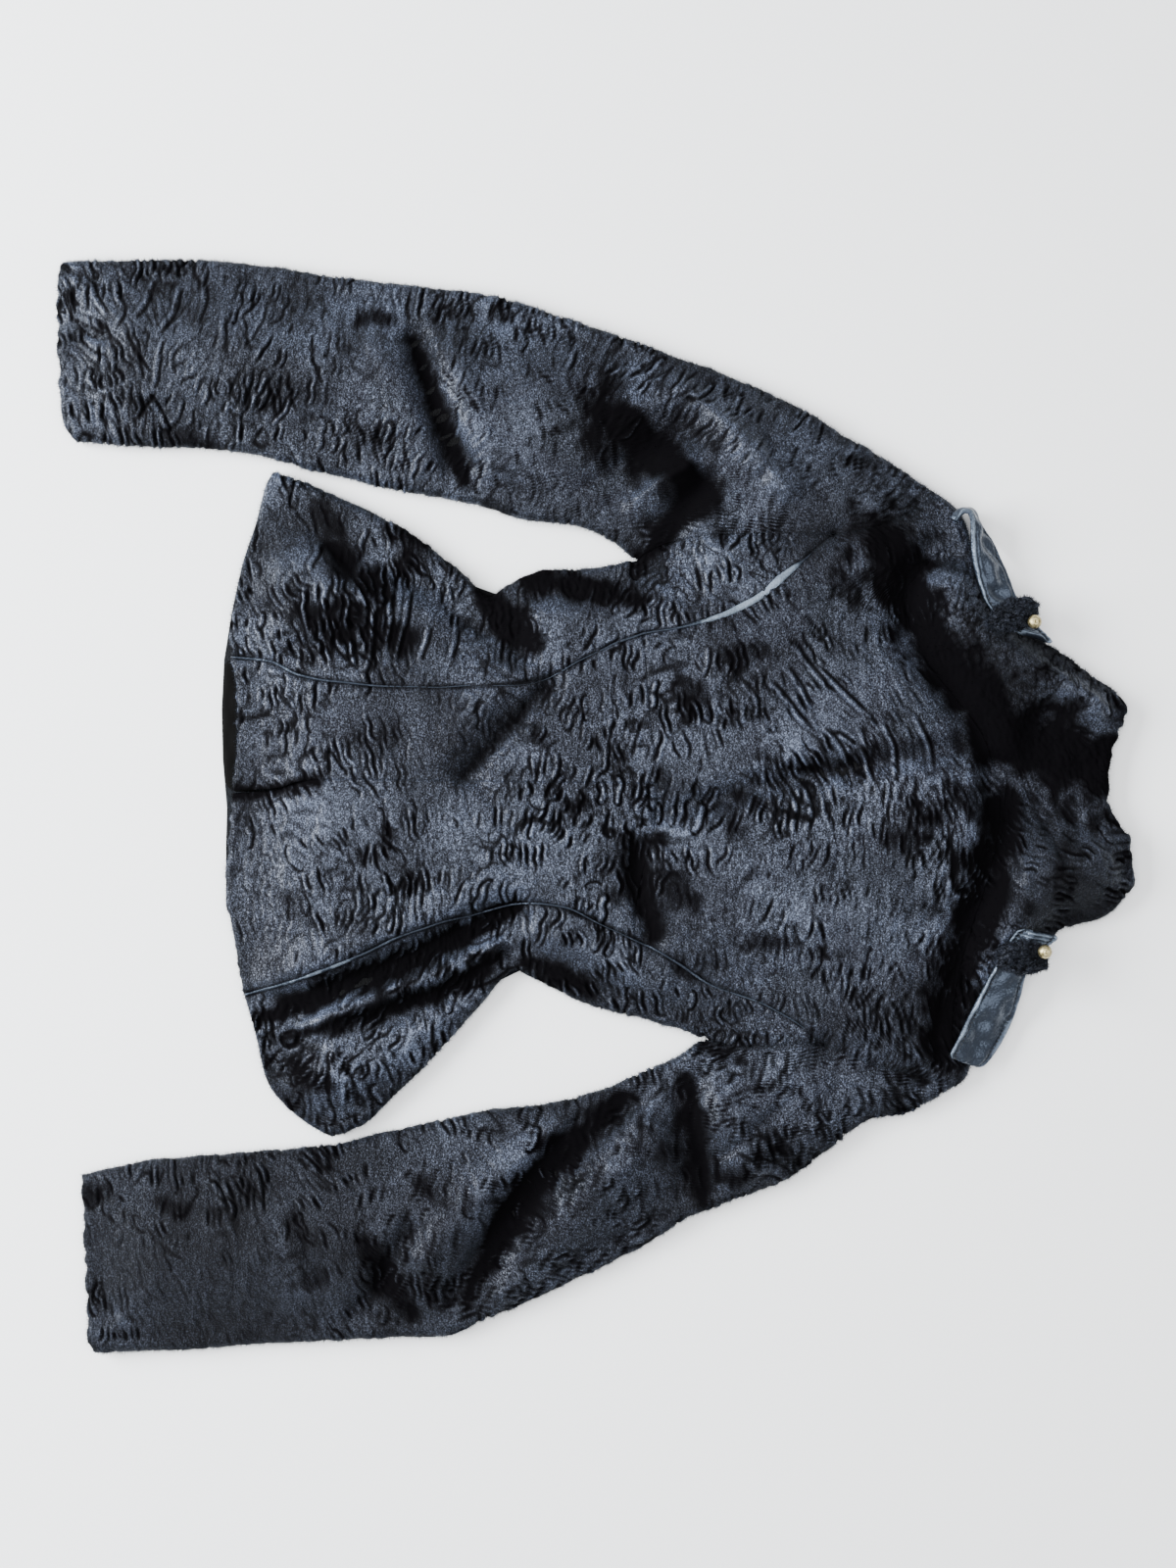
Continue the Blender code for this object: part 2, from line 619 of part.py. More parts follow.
def make_facing():
    """The strip of hem facing on the front's inner face, below the back hem."""
    (x_from, x_to), (y_from, y_to) = FACING
    across = np.linspace(x_from, x_to, FACING_COLUMNS + 1)
    along = np.linspace(y_from, y_to, 3)
    plan = np.array([[(x, y) for x in across] for y in along])
    level = FUR_WALL + SEAM_GAP + FACING_THICKNESS
    height = np.full(plan.shape[:2] + (1,), level)
    normals = np.zeros(plan.shape[:2] + (3,))
    normals[..., 2] = 1
    wall("front_facing_left", (np.dstack([plan, height]), normals), FACING_THICKNESS, "lining")


# ---------------------------------------------------------------- sleeves and collar

def make_sleeves():
    """Each sleeve is a flattened tube, flat below, from its cuff to its armhole."""
    for side in ("left", "right"):
        top = join(*armhole(side))
        inner = seam("sleeve_inner_" + side, SLEEVE_ROWS)
        outer = seam("sleeve_outer_" + side, SLEEVE_ROWS)
        cuff = stepped(seam("cuff_" + side, len(top) - 3), at_start=True, at_end=True)
        if side == "left":
            grid = banded_patch(cuff, inner, top[::-1], outer, band_left=True, band_right=True)
        else:
            grid = banded_patch(cuff, outer, top, inner, band_left=True, band_right=True)
        over, over_normals = parted(upper_face(grid), ends_drawn_in)
        under, under_normals = parted(lower_face(grid), ends_drawn_in)
        under, under_normals = under[:, -2:0:-1], under_normals[:, -2:0:-1]
        for column in (0, -1):
            over[:, column, 2] = SIDE_SEAM_LEVEL
            over_normals[:, column, 2] = 0
            size = np.linalg.norm(over_normals[:, column], axis=1)[:, None]
            over_normals[:, column] /= size
        rings = np.concatenate([over, under], axis=1)
        normals = np.concatenate([over_normals, under_normals], axis=1)
        tube_wall("sleeve_" + side, rings, normals, FUR_WALL, "fur")


def ends_drawn_in(grid):
    """A sleeve's grid moved in at its cuff and its armhole only."""
    moved = grid.copy()
    moved[0] += left_normals(grid[0]) * SLEEVE_HEAD_GAP
    moved[-1] -= left_normals(grid[-1]) * SLEEVE_HEAD_GAP
    return moved


def make_collar():
    """The funnel collar: its back on top, its two fronts flat beneath."""
    left = seam("collar_side_left", COLLAR_ROWS)
    right = seam("collar_side_right", COLLAR_ROWS)
    base = {side: neckline(side) for side in ("left", "right")}
    top = {
        "left": stepped(seam("collar_top_left", NECKLINE_SEGMENTS), at_start=True),
        "right": stepped(seam("collar_top_right", NECKLINE_SEGMENTS), at_end=True),
    }
    grid = banded_patch(join(base["left"], base["right"]), right, join(top["left"], top["right"]),
                        left, band_left=True, band_right=True)
    growing = np.linspace(FUR_WALL, COLLAR_WALL, COLLAR_ROWS + 1)[:, None, None]
    wall("collar_back", parted(upper_face(grid), drawn_in), growing, "fur")
    middle = seam("collar_front", COLLAR_ROWS)
    grid = banded_patch(base["left"], middle, top["left"], left, band_left=True)
    faces = parted(lower_face(grid), drawn_in)
    wall("collar_front_left", faces, FUR_WALL, "fur", face_down=True)
    grid = banded_patch(base["right"], right, top["right"], middle, band_right=True)
    faces = parted(lower_face(grid), drawn_in)
    wall("collar_front_right", faces, FUR_WALL, "fur", face_down=True)


# ---------------------------------------------------------------- trims

def make_piping():
    """A leather cord that lies in each princess seam."""
    for side in ("left", "right"):
        plan = join(*princess(side))[:-1]
        points, normals = upper_face(plan[None])
        centre = points[0] + normals[0] * (PIPING_RADIUS + PIPING_CLEARANCE)
        curve = bpy.data.curves.new("piping_" + side, "CURVE")
        curve.dimensions = "3D"
        curve.bevel_depth = PIPING_RADIUS * MM
        curve.bevel_resolution = 0
        curve.use_fill_caps = True
        spline = curve.splines.new("POLY")
        spline.points.add(len(centre) - 1)
        for place, point in zip(spline.points, centre):
            place.co = (*(point * MM), 1)
        curve.materials.append(material("leather"))
        made = bpy.data.objects.new("piping_" + side, curve)
        bpy.data.collections["fur_jacket"].objects.link(made)


def look_down(objects):
    """A function that gives the highest point of some solids near a place in plan."""
    trees = []
    for thing in objects:
        faces = [tuple(face.vertices) for face in thing.data.polygons]
        trees.append(BVHTree.FromPolygons([vert.co for vert in thing.data.vertices], faces))

    def height(x, y, around):
        best = 0.0
        for dx in (-around, 0, around):
            for dy in (-around, 0, around):
                start = Vector(((x + dx) * MM, (y + dy) * MM, 1))
                for tree in trees:
                    hit = tree.ray_cast(start, Vector((0, 0, -1)))[0]
                    if hit:
                        best = max(best, hit.z / MM)
        return best

    return height


def make_strap(side):
    """A leather band from the shoulder over the collar's side, held clear of the fur."""
    rows = smooth_curve(STRAPS[side], STRAP_STATIONS - 1)
    below = look_down([bpy.data.objects["back_centre_upper"], bpy.data.objects["collar_back"]])
    share = np.linspace(0, 1, STRAP_COLUMNS + 1)[None, :, None]
    points = (1 - share) * rows[:, None, :3] + share * rows[:, None, 3:]
    fur = np.array([[below(x, y, STRAP_LOOK) for x, y, _ in row] for row in points])
    short = np.where(fur > 0, fur + SEAM_GAP + STRAP_THICKNESS - points[..., 2], 0).max(axis=1)
    raised = np.pad(np.clip(short, 0, None), 2, mode="edge")
    widest = np.maximum(np.maximum(raised[:-2], raised[1:-1]), raised[2:])
    points[..., 2] += ((widest[:-2] + widest[1:-1] + widest[2:]) / 3)[:, None]
    along = np.gradient(points, axis=0)
    across = np.gradient(points, axis=1)
    normals = np.cross(across, along)
    normals /= np.linalg.norm(normals, axis=2)[:, :, None]
    if normals[STRAP_STATIONS // 2, 2, 2] < 0:
        points, normals = points[:, ::-1], -normals[:, ::-1]
    return wall("strap_" + side, (points, normals), STRAP_THICKNESS, "leather")


def make_keeper(side, strap):
    """A fur pad over the strap, sewn down to the collar at both ends."""
    middle, reach, half_width = KEEPERS[side]
    middle, reach = np.array(middle, float), np.array(reach, float)
    sideways = np.array([reach[1], -reach[0]]) / np.linalg.norm(reach) * half_width
    below = look_down([strap, bpy.data.objects["collar_back"]])
    steps = np.linspace(-1, 1, KEEPER_GRID + 1)
    along, across = np.meshgrid(steps, steps, indexing="ij")
    taper = (across * np.sqrt(1 - KEEPER_TAPER * along ** 2))[..., None]
    plan = middle + along[..., None] * reach + taper * sideways
    level = np.array([[below(x, y, KEEPER_LOOK) for x, y in row] for row in plan])
    level = np.maximum(level, level.max() - KEEPER_DROP) + SEAM_GAP
    plump = np.sqrt(np.clip(1 - along ** 2, 0, 1) * np.clip(1 - across ** 2, 0, 1))
    bottom = np.dstack([plan, level])
    top = np.dstack([plan, level + KEEPER_RIM + KEEPER_THICKNESS * plump])
    turned = np.cross(top[0, 1] - top[0, 0], top[1, 0] - top[0, 0])[2] < 0
    if turned:
        top, bottom = top[:, ::-1], bottom[:, ::-1]
    build = bmesh.new()
    skin = add_grid(build, top, False)
    lining = add_grid(build, bottom, True)
    edges = []
    for verts in (skin, lining):
        edge = verts[0] + [row[-1] for row in verts[1:]] + verts[-1][-2::-1]
        edges.append(edge + [row[0] for row in verts[-2::-1]])
    add_rim(build, *edges)
    return add_object("keeper_" + side, build, "fur")


def make_stud(side, keeper):
    """A brass ball on a short neck, turned from its profile."""
    x, y = STUD_PLACES[side]
    base = look_down([keeper])(x, y, STUD_NECK_RADIUS * 0.8) + SEAM_GAP
    ball = base + STUD_NECK_HEIGHT + STUD_RADIUS * 0.9
    start = math.asin(STUD_NECK_RADIUS / STUD_RADIUS)
    profile = [(0, ball + STUD_RADIUS)]
    for angle in np.linspace(0, math.pi - start, 9)[1:]:
        profile.append((STUD_RADIUS * math.sin(angle), ball + STUD_RADIUS * math.cos(angle)))
    profile += [(STUD_NECK_RADIUS, base), (0, base)]
    mesh = bpy.data.meshes.new("stud_" + side)
    edges = [(i, i + 1) for i in range(len(profile) - 1)]
    mesh.from_pydata([(r * MM, 0, z * MM) for r, z in profile], edges, [])
    mesh.materials.append(material("brass"))
    made = bpy.data.objects.new("stud_" + side, mesh)
    made.location = (x * MM, y * MM, 0)
    bpy.data.collections["fur_jacket"].objects.link(made)
    screw = made.modifiers.new("turned", "SCREW")
    screw.steps = STUD_STEPS
    screw.render_steps = STUD_STEPS
    screw.use_merge_vertices = True
    screw.merge_threshold = 0.00001


def make_trims():
    for side in ("left", "right"):
        strap = make_strap(side)
        keeper = make_keeper(side, strap)
        make_stud(side, keeper)


def main():
    for thing in list(bpy.data.objects):
        bpy.data.objects.remove(thing)
    collection = bpy.data.collections.new("fur_jacket")
    bpy.context.scene.collection.children.link(collection)
    make_back()
    make_side_backs()
    make_fronts()
    make_facing()
    make_sleeves()
    make_collar()
    make_piping()
    make_trims()


main()
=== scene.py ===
"""The finished fur jacket, laid flat with its back up.

Plan tables are in millimetres, as the jacket lies: X runs from the wearer's left (-) to the wearer's
right (+), Y from the hem (-) to the collar (+). The fur is a fine surface over the same plan and lie as
the solids, with the creases, curls and fibres that they leave out.
"""
import json
import math

import bpy
import bmesh
import numpy as np
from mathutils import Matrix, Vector
from mathutils.bvhtree import BVHTree

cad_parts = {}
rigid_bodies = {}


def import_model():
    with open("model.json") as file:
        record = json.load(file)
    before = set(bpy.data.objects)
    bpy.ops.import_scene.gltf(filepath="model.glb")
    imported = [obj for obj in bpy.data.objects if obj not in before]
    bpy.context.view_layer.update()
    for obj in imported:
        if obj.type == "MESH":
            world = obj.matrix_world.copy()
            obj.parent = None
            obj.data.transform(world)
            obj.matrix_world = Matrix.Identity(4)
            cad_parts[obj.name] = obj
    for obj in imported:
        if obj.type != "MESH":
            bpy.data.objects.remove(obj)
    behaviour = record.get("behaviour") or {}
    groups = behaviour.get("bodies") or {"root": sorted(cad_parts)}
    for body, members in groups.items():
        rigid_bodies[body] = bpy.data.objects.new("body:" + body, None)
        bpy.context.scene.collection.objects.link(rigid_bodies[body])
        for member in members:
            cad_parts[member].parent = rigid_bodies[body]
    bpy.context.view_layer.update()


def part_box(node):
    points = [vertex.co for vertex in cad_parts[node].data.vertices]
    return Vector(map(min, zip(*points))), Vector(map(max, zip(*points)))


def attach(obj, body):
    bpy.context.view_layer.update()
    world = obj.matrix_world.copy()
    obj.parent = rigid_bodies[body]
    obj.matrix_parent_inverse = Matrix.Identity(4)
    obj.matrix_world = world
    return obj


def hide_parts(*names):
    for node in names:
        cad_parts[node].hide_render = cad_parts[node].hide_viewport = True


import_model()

MM = 0.001

# Sizes shared with the solids, in millimetres
FUR_WALL = 5.5
SEAM_GAP = 0.3
SIDE_SEAM_LEVEL = 6.5       # where back and front meet on a folded side
EDGE_RADIUS = 6.35          # roundness of a folded side
PUFF_HEIGHT = 14.0
PUFF_REACH = 45.0
LAY_SOFTNESS = 1.5
FOLD_EDGE_FADE = 11.0
VENT_TOP = -212.0
VENT_HALF_GAP = 1.6
PIPING_RADIUS = 1.5
STRAP_THICKNESS = 2.4
KEEPER_THICKNESS = 7.5
KEEPER_RIM = 1.2
FACING_THICKNESS = 1.6
STUD_RADIUS = 5.2
STUD_NECK_RADIUS = 2.4
STUD_NECK_HEIGHT = 1.8

# Fineness of the surfaces, in millimetres
FUR_ALONG = 1.0             # from the hem to the collar, across most curls
FUR_ACROSS = 1.9
UNDER_STEP = 4.5
INNER_EVERY = 8             # the plain inner face keeps every eighth point
UNDER_EVERY = 4             # a sleeve's hidden side keeps every fourth column
TIP_MERGE = 0.02            # at a panel's pointed end, points closer than this become one
CURVE_STEPS = 24
GRAIN = 0.75                # cell of the curl pattern
MAP_LOW = np.array([-432.0, -426.0])
MAP_CELLS = (1152, 1136)
SHADE_MAP_CELL = 3.0

# Seams and edges in plan, as marked points, X then Y
SEAMS = {
    "cuff_left": [(-418, -409), (-394, -412), (-334, -411), (-296, -408), (-280, -398)],
    "sleeve_inner_left": [(-280, -398), (-277, -345), (-272, -270), (-258, -214), (-244, -157),
        (-238, -120), (-229, -82), (-220, -52), (-216, -15), (-205, 10), (-190, 28)],
    "sleeve_outer_left": [(-418, -409), (-418, -285), (-405, -195), (-392, -82), (-369, -7), (-343, 67),
        (-313, 142), (-290, 180), (-268, 218), (-240, 260)],
    "side_left": [(-257, -248), (-247, -218), (-218, -157), (-199, -127), (-178, -101), (-161, -84),
        (-171, -69), (-182, -45), (-183, -8), (-190, 28)],
    "armhole_lower_left": [(-190, 28), (-201, 48), (-207, 75), (-209, 110), (-209, 145), (-209, 180)],
    "armhole_upper_left": [(-209, 180), (-213, 205), (-223, 232), (-240, 260)],
    "shoulder_left": [(-240, 260), (-226, 277), (-208, 284)],
    "princess_lower_left": [(-116, -280), (-112, -250), (-101, -225), (-94, -180), (-92, -120),
        (-95, -60), (-104, -28), (-121, 3), (-133, 34)],
    "princess_upper_left": [(-133, 34), (-137, 60), (-145, 90), (-158, 118), (-176, 141), (-195, 163),
        (-209, 180)],
    "cuff_right": [(280, -394), (326, -392), (379, -389), (408, -388), (416, -382)],
    "sleeve_inner_right": [(280, -394), (270, -345), (266, -307), (260, -232), (256, -195), (246, -157),
        (231, -82), (226, -45), (219, -7), (205, 28), (190, 60), (176, 81)],
    "sleeve_outer_right": [(416, -382), (413, -307), (408, -232), (404, -160), (403, -116), (389, -82),
        (373, -45), (337, 30), (313, 67), (284, 142), (257, 180), (238, 206), (232, 236), (212, 274)],
    "side_right": [(251, -203), (240, -176), (221, -157), (184, -120), (150, -90), (125, -67),
        (130, -48), (149, -8), (160, 30), (168, 62), (176, 81)],
    "armhole_lower_right": [(176, 81), (181, 100), (181, 125), (179, 150), (180, 172)],
    "armhole_upper_right": [(180, 172), (188, 192), (197, 215), (203, 243), (212, 274)],
    "shoulder_right": [(212, 274), (206, 281), (199, 284)],
    "princess_lower_right": [(142, -270), (131, -232), (118, -195), (100, -157), (87, -120), (77, -82),
        (72, -52), (76, -25), (86, 0), (99, 28)],
    "princess_upper_right": [(99, 28), (112, 52), (131, 82), (140, 105), (148, 126), (163, 152),
        (180, 172)],
    "waist_left": [(-133, 34), (-120, 36), (-80, 39), (-48, 42), (-19, 46)],
    "waist_right": [(-19, 46), (19, 42), (50, 34), (75, 29), (99, 28)],
    "centre_back": [(-13, -278), (-15, -245), (-22, -212), (-21, -100), (-19, 46)],
    "hem_side_left": [(-257, -248), (-244, -254), (-217, -261), (-191, -270), (-161, -277),
        (-139, -281), (-116, -280)],
    "hem_back_left": [(-116, -280), (-100, -276), (-64, -275), (-13, -278)],
    "hem_back_right": [(-13, -278), (19, -281), (64, -283), (101, -277), (142, -270)],
    "hem_side_right": [(142, -270), (169, -262), (206, -253), (225, -240), (240, -222), (251, -203)],
    "hem_front_left": [(-257, -248), (-244, -254), (-217, -261), (-191, -270), (-161, -278),
        (-116, -286), (-56, -288), (0, -284)],
    "hem_front_right": [(0, -284), (41, -285), (64, -285), (101, -278), (142, -271), (169, -262),
        (206, -253), (225, -240), (240, -222), (251, -203)],
    "neckline_left": [(-208, 284), (-193, 259), (-169, 237), (-139, 235), (-109, 252), (-82, 274),
        (-52, 295), (-12, 307)],
    "neckline_right": [(-12, 307), (11, 306), (41, 300), (71, 291), (101, 281), (139, 273), (176, 271),
        (199, 284)],
    "collar_side_left": [(-208, 284), (-192, 290), (-174, 297), (-158, 305), (-145, 317), (-134, 331),
        (-117, 357), (-103, 375), (-94, 390), (-84, 401)],
    "collar_top_left": [(-84, 401), (-75, 403), (-60, 398), (-45, 393), (-30, 390), (-12, 389)],
    "collar_top_right": [(-12, 389), (0, 390), (11, 397), (22, 405), (41, 407), (60, 410)],
    "collar_side_right": [(199, 284), (185, 288), (168, 294), (146, 304), (128, 316), (117, 331),
        (105, 343), (94, 352), (88, 370), (82, 388), (60, 410)],
    "centre_front": [(0, -284), (-4, 0), (-12, 307)],
    "collar_front": [(-12, 307), (-12, 389)],
}

# The outline, walked with the jacket on the left (- is backwards), and whether it is folded shut
OUTLINE = (
    ("cuff_left", False),
    ("sleeve_inner_left", True),
    ("-side_left", True),
    ("hem_side_left", False),
    ("hem_back_left", False),
    ("hem_back_right", False),
    ("hem_side_right", False),
    ("side_right", True),
    ("-sleeve_inner_right", True),
    ("cuff_right", False),
    ("sleeve_outer_right", True),
    ("shoulder_right", True),
    ("collar_side_right", True),
    ("-collar_top_right", False),
    ("-collar_top_left", False),
    ("-collar_side_left", True),
    ("-shoulder_left", True),
    ("-sleeve_outer_left", True),
)

# Panels: the seams along the bottom, right, top and left (- is backwards), and the folded sides
UPPER_PANELS = {
    "back_centre_upper": (
        ("waist_left", "waist_right"), ("princess_upper_right", "armhole_upper_right"),
        ("shoulder_left", "neckline_left", "neckline_right", "-shoulder_right"),
        ("princess_upper_left", "armhole_upper_left"), ""),
    "back_centre_lower_left": (
        ("hem_back_left",), ("vent_left",), ("waist_left",), ("princess_lower_left",), ""),
    "back_centre_lower_right": (
        ("hem_back_right",), ("princess_lower_right",), ("waist_right",), ("vent_right",), ""),
    "back_side_left": (
        ("hem_side_left",), ("princess_lower_left", "princess_upper_left"), (),
        ("side_left", "armhole_lower_left"), "left"),
    "back_side_right": (
        ("hem_side_right",), ("side_right", "armhole_lower_right"), (),
        ("princess_lower_right", "princess_upper_right"), "right"),
    "collar_back": (
        ("neckline_left", "neckline_right"), ("collar_side_right",),
        ("collar_top_left", "collar_top_right"), ("collar_side_left",), "left right"),
}
SLEEVES = {
    "sleeve_left": (
        ("cuff_left",), ("sleeve_inner_left",), ("-armhole_upper_left", "-armhole_lower_left"),
        ("sleeve_outer_left",), "left right"),
    "sleeve_right": (
        ("cuff_right",), ("sleeve_outer_right",), ("armhole_lower_right", "armhole_upper_right"),
        ("sleeve_inner_right",), "left right"),
}
LOWER_PANELS = {
    "front_left": (
        ("hem_front_left",), ("centre_front",), ("shoulder_left", "neckline_left"),
        ("side_left", "armhole_lower_left", "armhole_upper_left"), "left"),
    "front_right": (
        ("hem_front_right",), ("side_right", "armhole_lower_right", "armhole_upper_right"),
        ("neckline_right", "-shoulder_right"), ("centre_front",), "right"),
    "collar_front_left": (
        ("neckline_left",), ("collar_front",), ("collar_top_left",), ("collar_side_left",), "left"),
    "collar_front_right": (
        ("neckline_right",), ("collar_side_right",), ("collar_top_right",), ("collar_front",),
        "right"),
}

# The cut of each piece laid flat, in metres: width, length, area; and what it lies on
SHEETS = {
    "back_centre_upper": (0.455, 0.290, 0.0880, "front_left"),
    "back_centre_lower_left": (0.120, 0.330, 0.0285, "front_left"),
    "back_centre_lower_right": (0.165, 0.335, 0.0395, "front_right"),
    "back_side_left": (0.170, 0.470, 0.0435, "front_left"),
    "back_side_right": (0.150, 0.460, 0.0375, "front_right"),
    "collar_back": (0.420, 0.190, 0.0365, "collar_front_left"),
    "sleeve_left": (0.380, 0.700, 0.1800, "floor"),
    "sleeve_right": (0.360, 0.700, 0.1700, "floor"),
    "front_left": (0.260, 0.600, 0.1150, "floor"),
    "front_right": (0.265, 0.600, 0.1105, "floor"),
    "collar_front_left": (0.200, 0.170, 0.0180, "floor"),
    "collar_front_right": (0.215, 0.140, 0.0153, "floor"),
}

# Folds of the upper cloth: start, middle, end, half width, height (- is a trough)
FOLDS = (
    ((-356, -139), (-318, -128), (-254, -103), 11, -11),
    ((-352, -165), (-310, -153), (-262, -131), 14, 4),
    ((-345, -110), (-300, -98), (-262, -78), 15, 5),
    ((-240, 8), (-268, 36), (-292, 66), 20, -12),
    ((-318, 62), (-282, 106), (-243, 140), 15, 8),
    ((-199, 36), (-222, 58), (-246, 80), 12, -11),
    ((-230, 24), (-246, 46), (-262, 66), 11, 5),
    ((-350, -330), (-350, -270), (-340, -210), 42, 4),
    ((-300, 120), (-272, 170), (-250, 215), 32, 6),
    ((-146, -88), (-178, -150), (-221, -228), 14, -7),
    ((-160, -128), (-158, -180), (-178, -240), 19, 6),
    ((-124, -150), (-130, -190), (-120, -228), 14, -5),
    ((-150, -82), (-139, -70), (-122, -62), 14, -8),
    ((-166, -45), (-170, -15), (-174, 15), 11, -6),
    ((-148, -42), (-150, 0), (-164, 42), 17, 5),
    ((4, 49), (-19, 135), (-46, 270), 11, -6),
    ((-26, -101), (-62, -72), (-94, -37), 11, -6),
    ((-40, -125), (-78, -92), (-100, -70), 14, 4),
    ((32, 30), (66, 32), (96, 42), 11, -8),
    ((-112, 100), (-100, 150), (-105, 195), 42, 6),
    ((72, 100), (82, 155), (70, 210), 42, 6),
    ((-30, 232), (0, 250), (20, 270), 30, 6),
    ((161, -257), (125, -170), (82, -66), 13, -15),
    ((128, -248), (95, -165), (58, -80), 17, 6),
    ((166, -215), (136, -150), (104, -82), 12, 8),
    ((182, -238), (158, -165), (128, -84), 11, -7),
    ((214, -222), (192, -165), (152, -105), 20, 7),
    ((113, -60), (130, -30), (150, 5), 11, -6),
    ((98, -30), (116, 5), (138, 42), 15, 4),
    ((219, 20), (288, -50), (366, -100), 13, -15),
    ((236, -30), (290, -92), (338, -128), 15, 7),
    ((242, 32), (316, -18), (374, -66), 17, 8),
    ((322, -142), (350, -160), (384, -180), 11, -7),
    ((212, 66), (255, 70), (300, 74), 13, -8),
    ((222, 98), (258, 110), (292, 110), 17, 5),
    ((345, -330), (345, -270), (338, -200), 40, 4),
    ((270, 130), (252, 175), (228, 215), 28, 6),
    ((-169, 268), (-131, 296), (-86, 378), 20, 15),
    ((112, 296), (62, 336), (44, 380), 26, 15),
    ((-62, 340), (-35, 332), (0, 338), 24, -12),
)

# Creases too fine for the solids, in the same columns
CREASES = (
    ((-364, -411), (-362, -393), (-356, -375), 4, -2.5),
    ((-225, -38), (-221, -26), (-218, -15), 5, -3),
    ((-281, 128), (-266, 132), (-251, 124), 4, -3),
    ((-319, 68), (-284, 105), (-240, 142), 6, 2.5),
    ((-236, 30), (-250, 50), (-259, 68), 4, 3),
    ((-229, -218), (-220, -206), (-210, -195), 7, -3),
    ((-199, -202), (-188, -195), (-176, -188), 7, -3),
    ((-176, -180), (-169, -169), (-161, -158), 8, -3),
    ((-210, -158), (-205, -142), (-197, -128), 7, -3),
    ((-191, -158), (-180, -148), (-169, -139), 8, -3),
    ((4, 49), (-19, 135), (-49, 292), 5, -1.0),
    ((-26, -101), (-60, -68), (-94, -38), 5, -2.5),
    ((-19, -90), (11, -71), (41, -52), 5, -2),
    ((161, -259), (124, -158), (75, -60), 5, -3),
    ((176, -240), (150, -158), (124, -82), 5, -2.5),
    ((266, 79), (259, 101), (229, 135), 4, -2.5),
    ((206, 68), (251, 76), (300, 80), 4, -2.5),
    ((328, -178), (356, -160), (385, -142), 9, -3),
    ((311, -232), (334, -221), (356, -210), 8, -2.5),
    ((19, 262), (28, 281), (41, 296), 4, -2.5),
    ((-8, 322), (26, 320), (56, 324), 5, 3),
    ((4, 338), (41, 356), (60, 390), 5, -3),
    ((-4, 349), (19, 375), (49, 405), 5, -3),
    ((-116, 342), (-94, 374), (-76, 400), 3.5, -3.5),
    ((-35, 300), (-28, 340), (-30, 385), 6, -3),
)

# Places of painted shadow, where the pile is coloured black: start, middle, end, half width, strength
PAINTED_SHADOWS = (
    ((-356, -141), (-320, -127), (-290, -112), 7, 0.55),
    ((-296, -118), (-272, -110), (-250, -101), 6, 0.7),
    ((-300, 2), (-278, 39), (-235, 76), 19, 1.0),
    ((-186, 30), (-215, 56), (-246, 80), 9, 0.9),
    ((-229, -218), (-220, -206), (-210, -195), 8, 0.6),
    ((-199, -202), (-188, -195), (-176, -188), 9, 0.7),
    ((-176, -180), (-169, -169), (-161, -158), 10, 0.8),
    ((-210, -158), (-205, -142), (-180, -148), 10, 0.7),
    ((-150, -228), (-140, -190), (-130, -140), 13, 0.8),
    ((-172, -86), (-145, -74), (-128, -52), 13, 1.0),
    ((-180, -60), (-169, -15), (-158, 30), 9, 0.9),
    ((161, -259), (124, -158), (75, -60), 8, 0.95),
    ((176, -240), (150, -158), (124, -82), 7, 0.8),
    ((116, -56), (124, -34), (137, -8), 9, 0.8),
    ((19, 22), (56, 34), (94, 44), 13, 0.75),
    ((-102, 60), (-84, 70), (-66, 66), 10, 0.7),
    ((194, -230), (206, -219), (212, -206), 11, 0.7),
    ((70, -232), (79, -224), (88, -214), 10, 0.3),
    ((48, -146), (53, -140), (58, -132), 6, 0.5),
    ((-180, 178), (-171, 187), (-160, 194), 11, 0.55),
    ((-10, 104), (-6, 112), (-2, 124), 8, 0.45),
    ((-20, 266), (-10, 275), (2, 280), 8, 0.5),
    ((46, 46), (60, 55), (68, 72), 13, 0.6),
    ((98, 262), (118, 258), (142, 248), 11, 0.5),
    ((218, 22), (288, -50), (371, -100), 10, 1.0),
    ((328, -178), (356, -160), (385, -142), 13, 0.7),
    ((311, -232), (334, -221), (356, -210), 11, 0.3),
    ((206, 68), (251, 76), (300, 80), 9, 0.8),
    ((-26, -101), (-60, -68), (-94, -38), 5, 0.25),
    ((-40, 120), (-30, 170), (-52, 250), 7, 0.4),
    ((-208, 214), (-160, 238), (-115, 262), 18, 1.0),
    ((-101, 274), (-86, 296), (-49, 308), 20, 1.0),
    ((-54, 316), (-40, 350), (-30, 392), 27, 1.0),
    ((2, 302), (66, 293), (125, 274), 19, 1.0),
    ((125, 274), (150, 268), (184, 262), 17, 1.0),
)

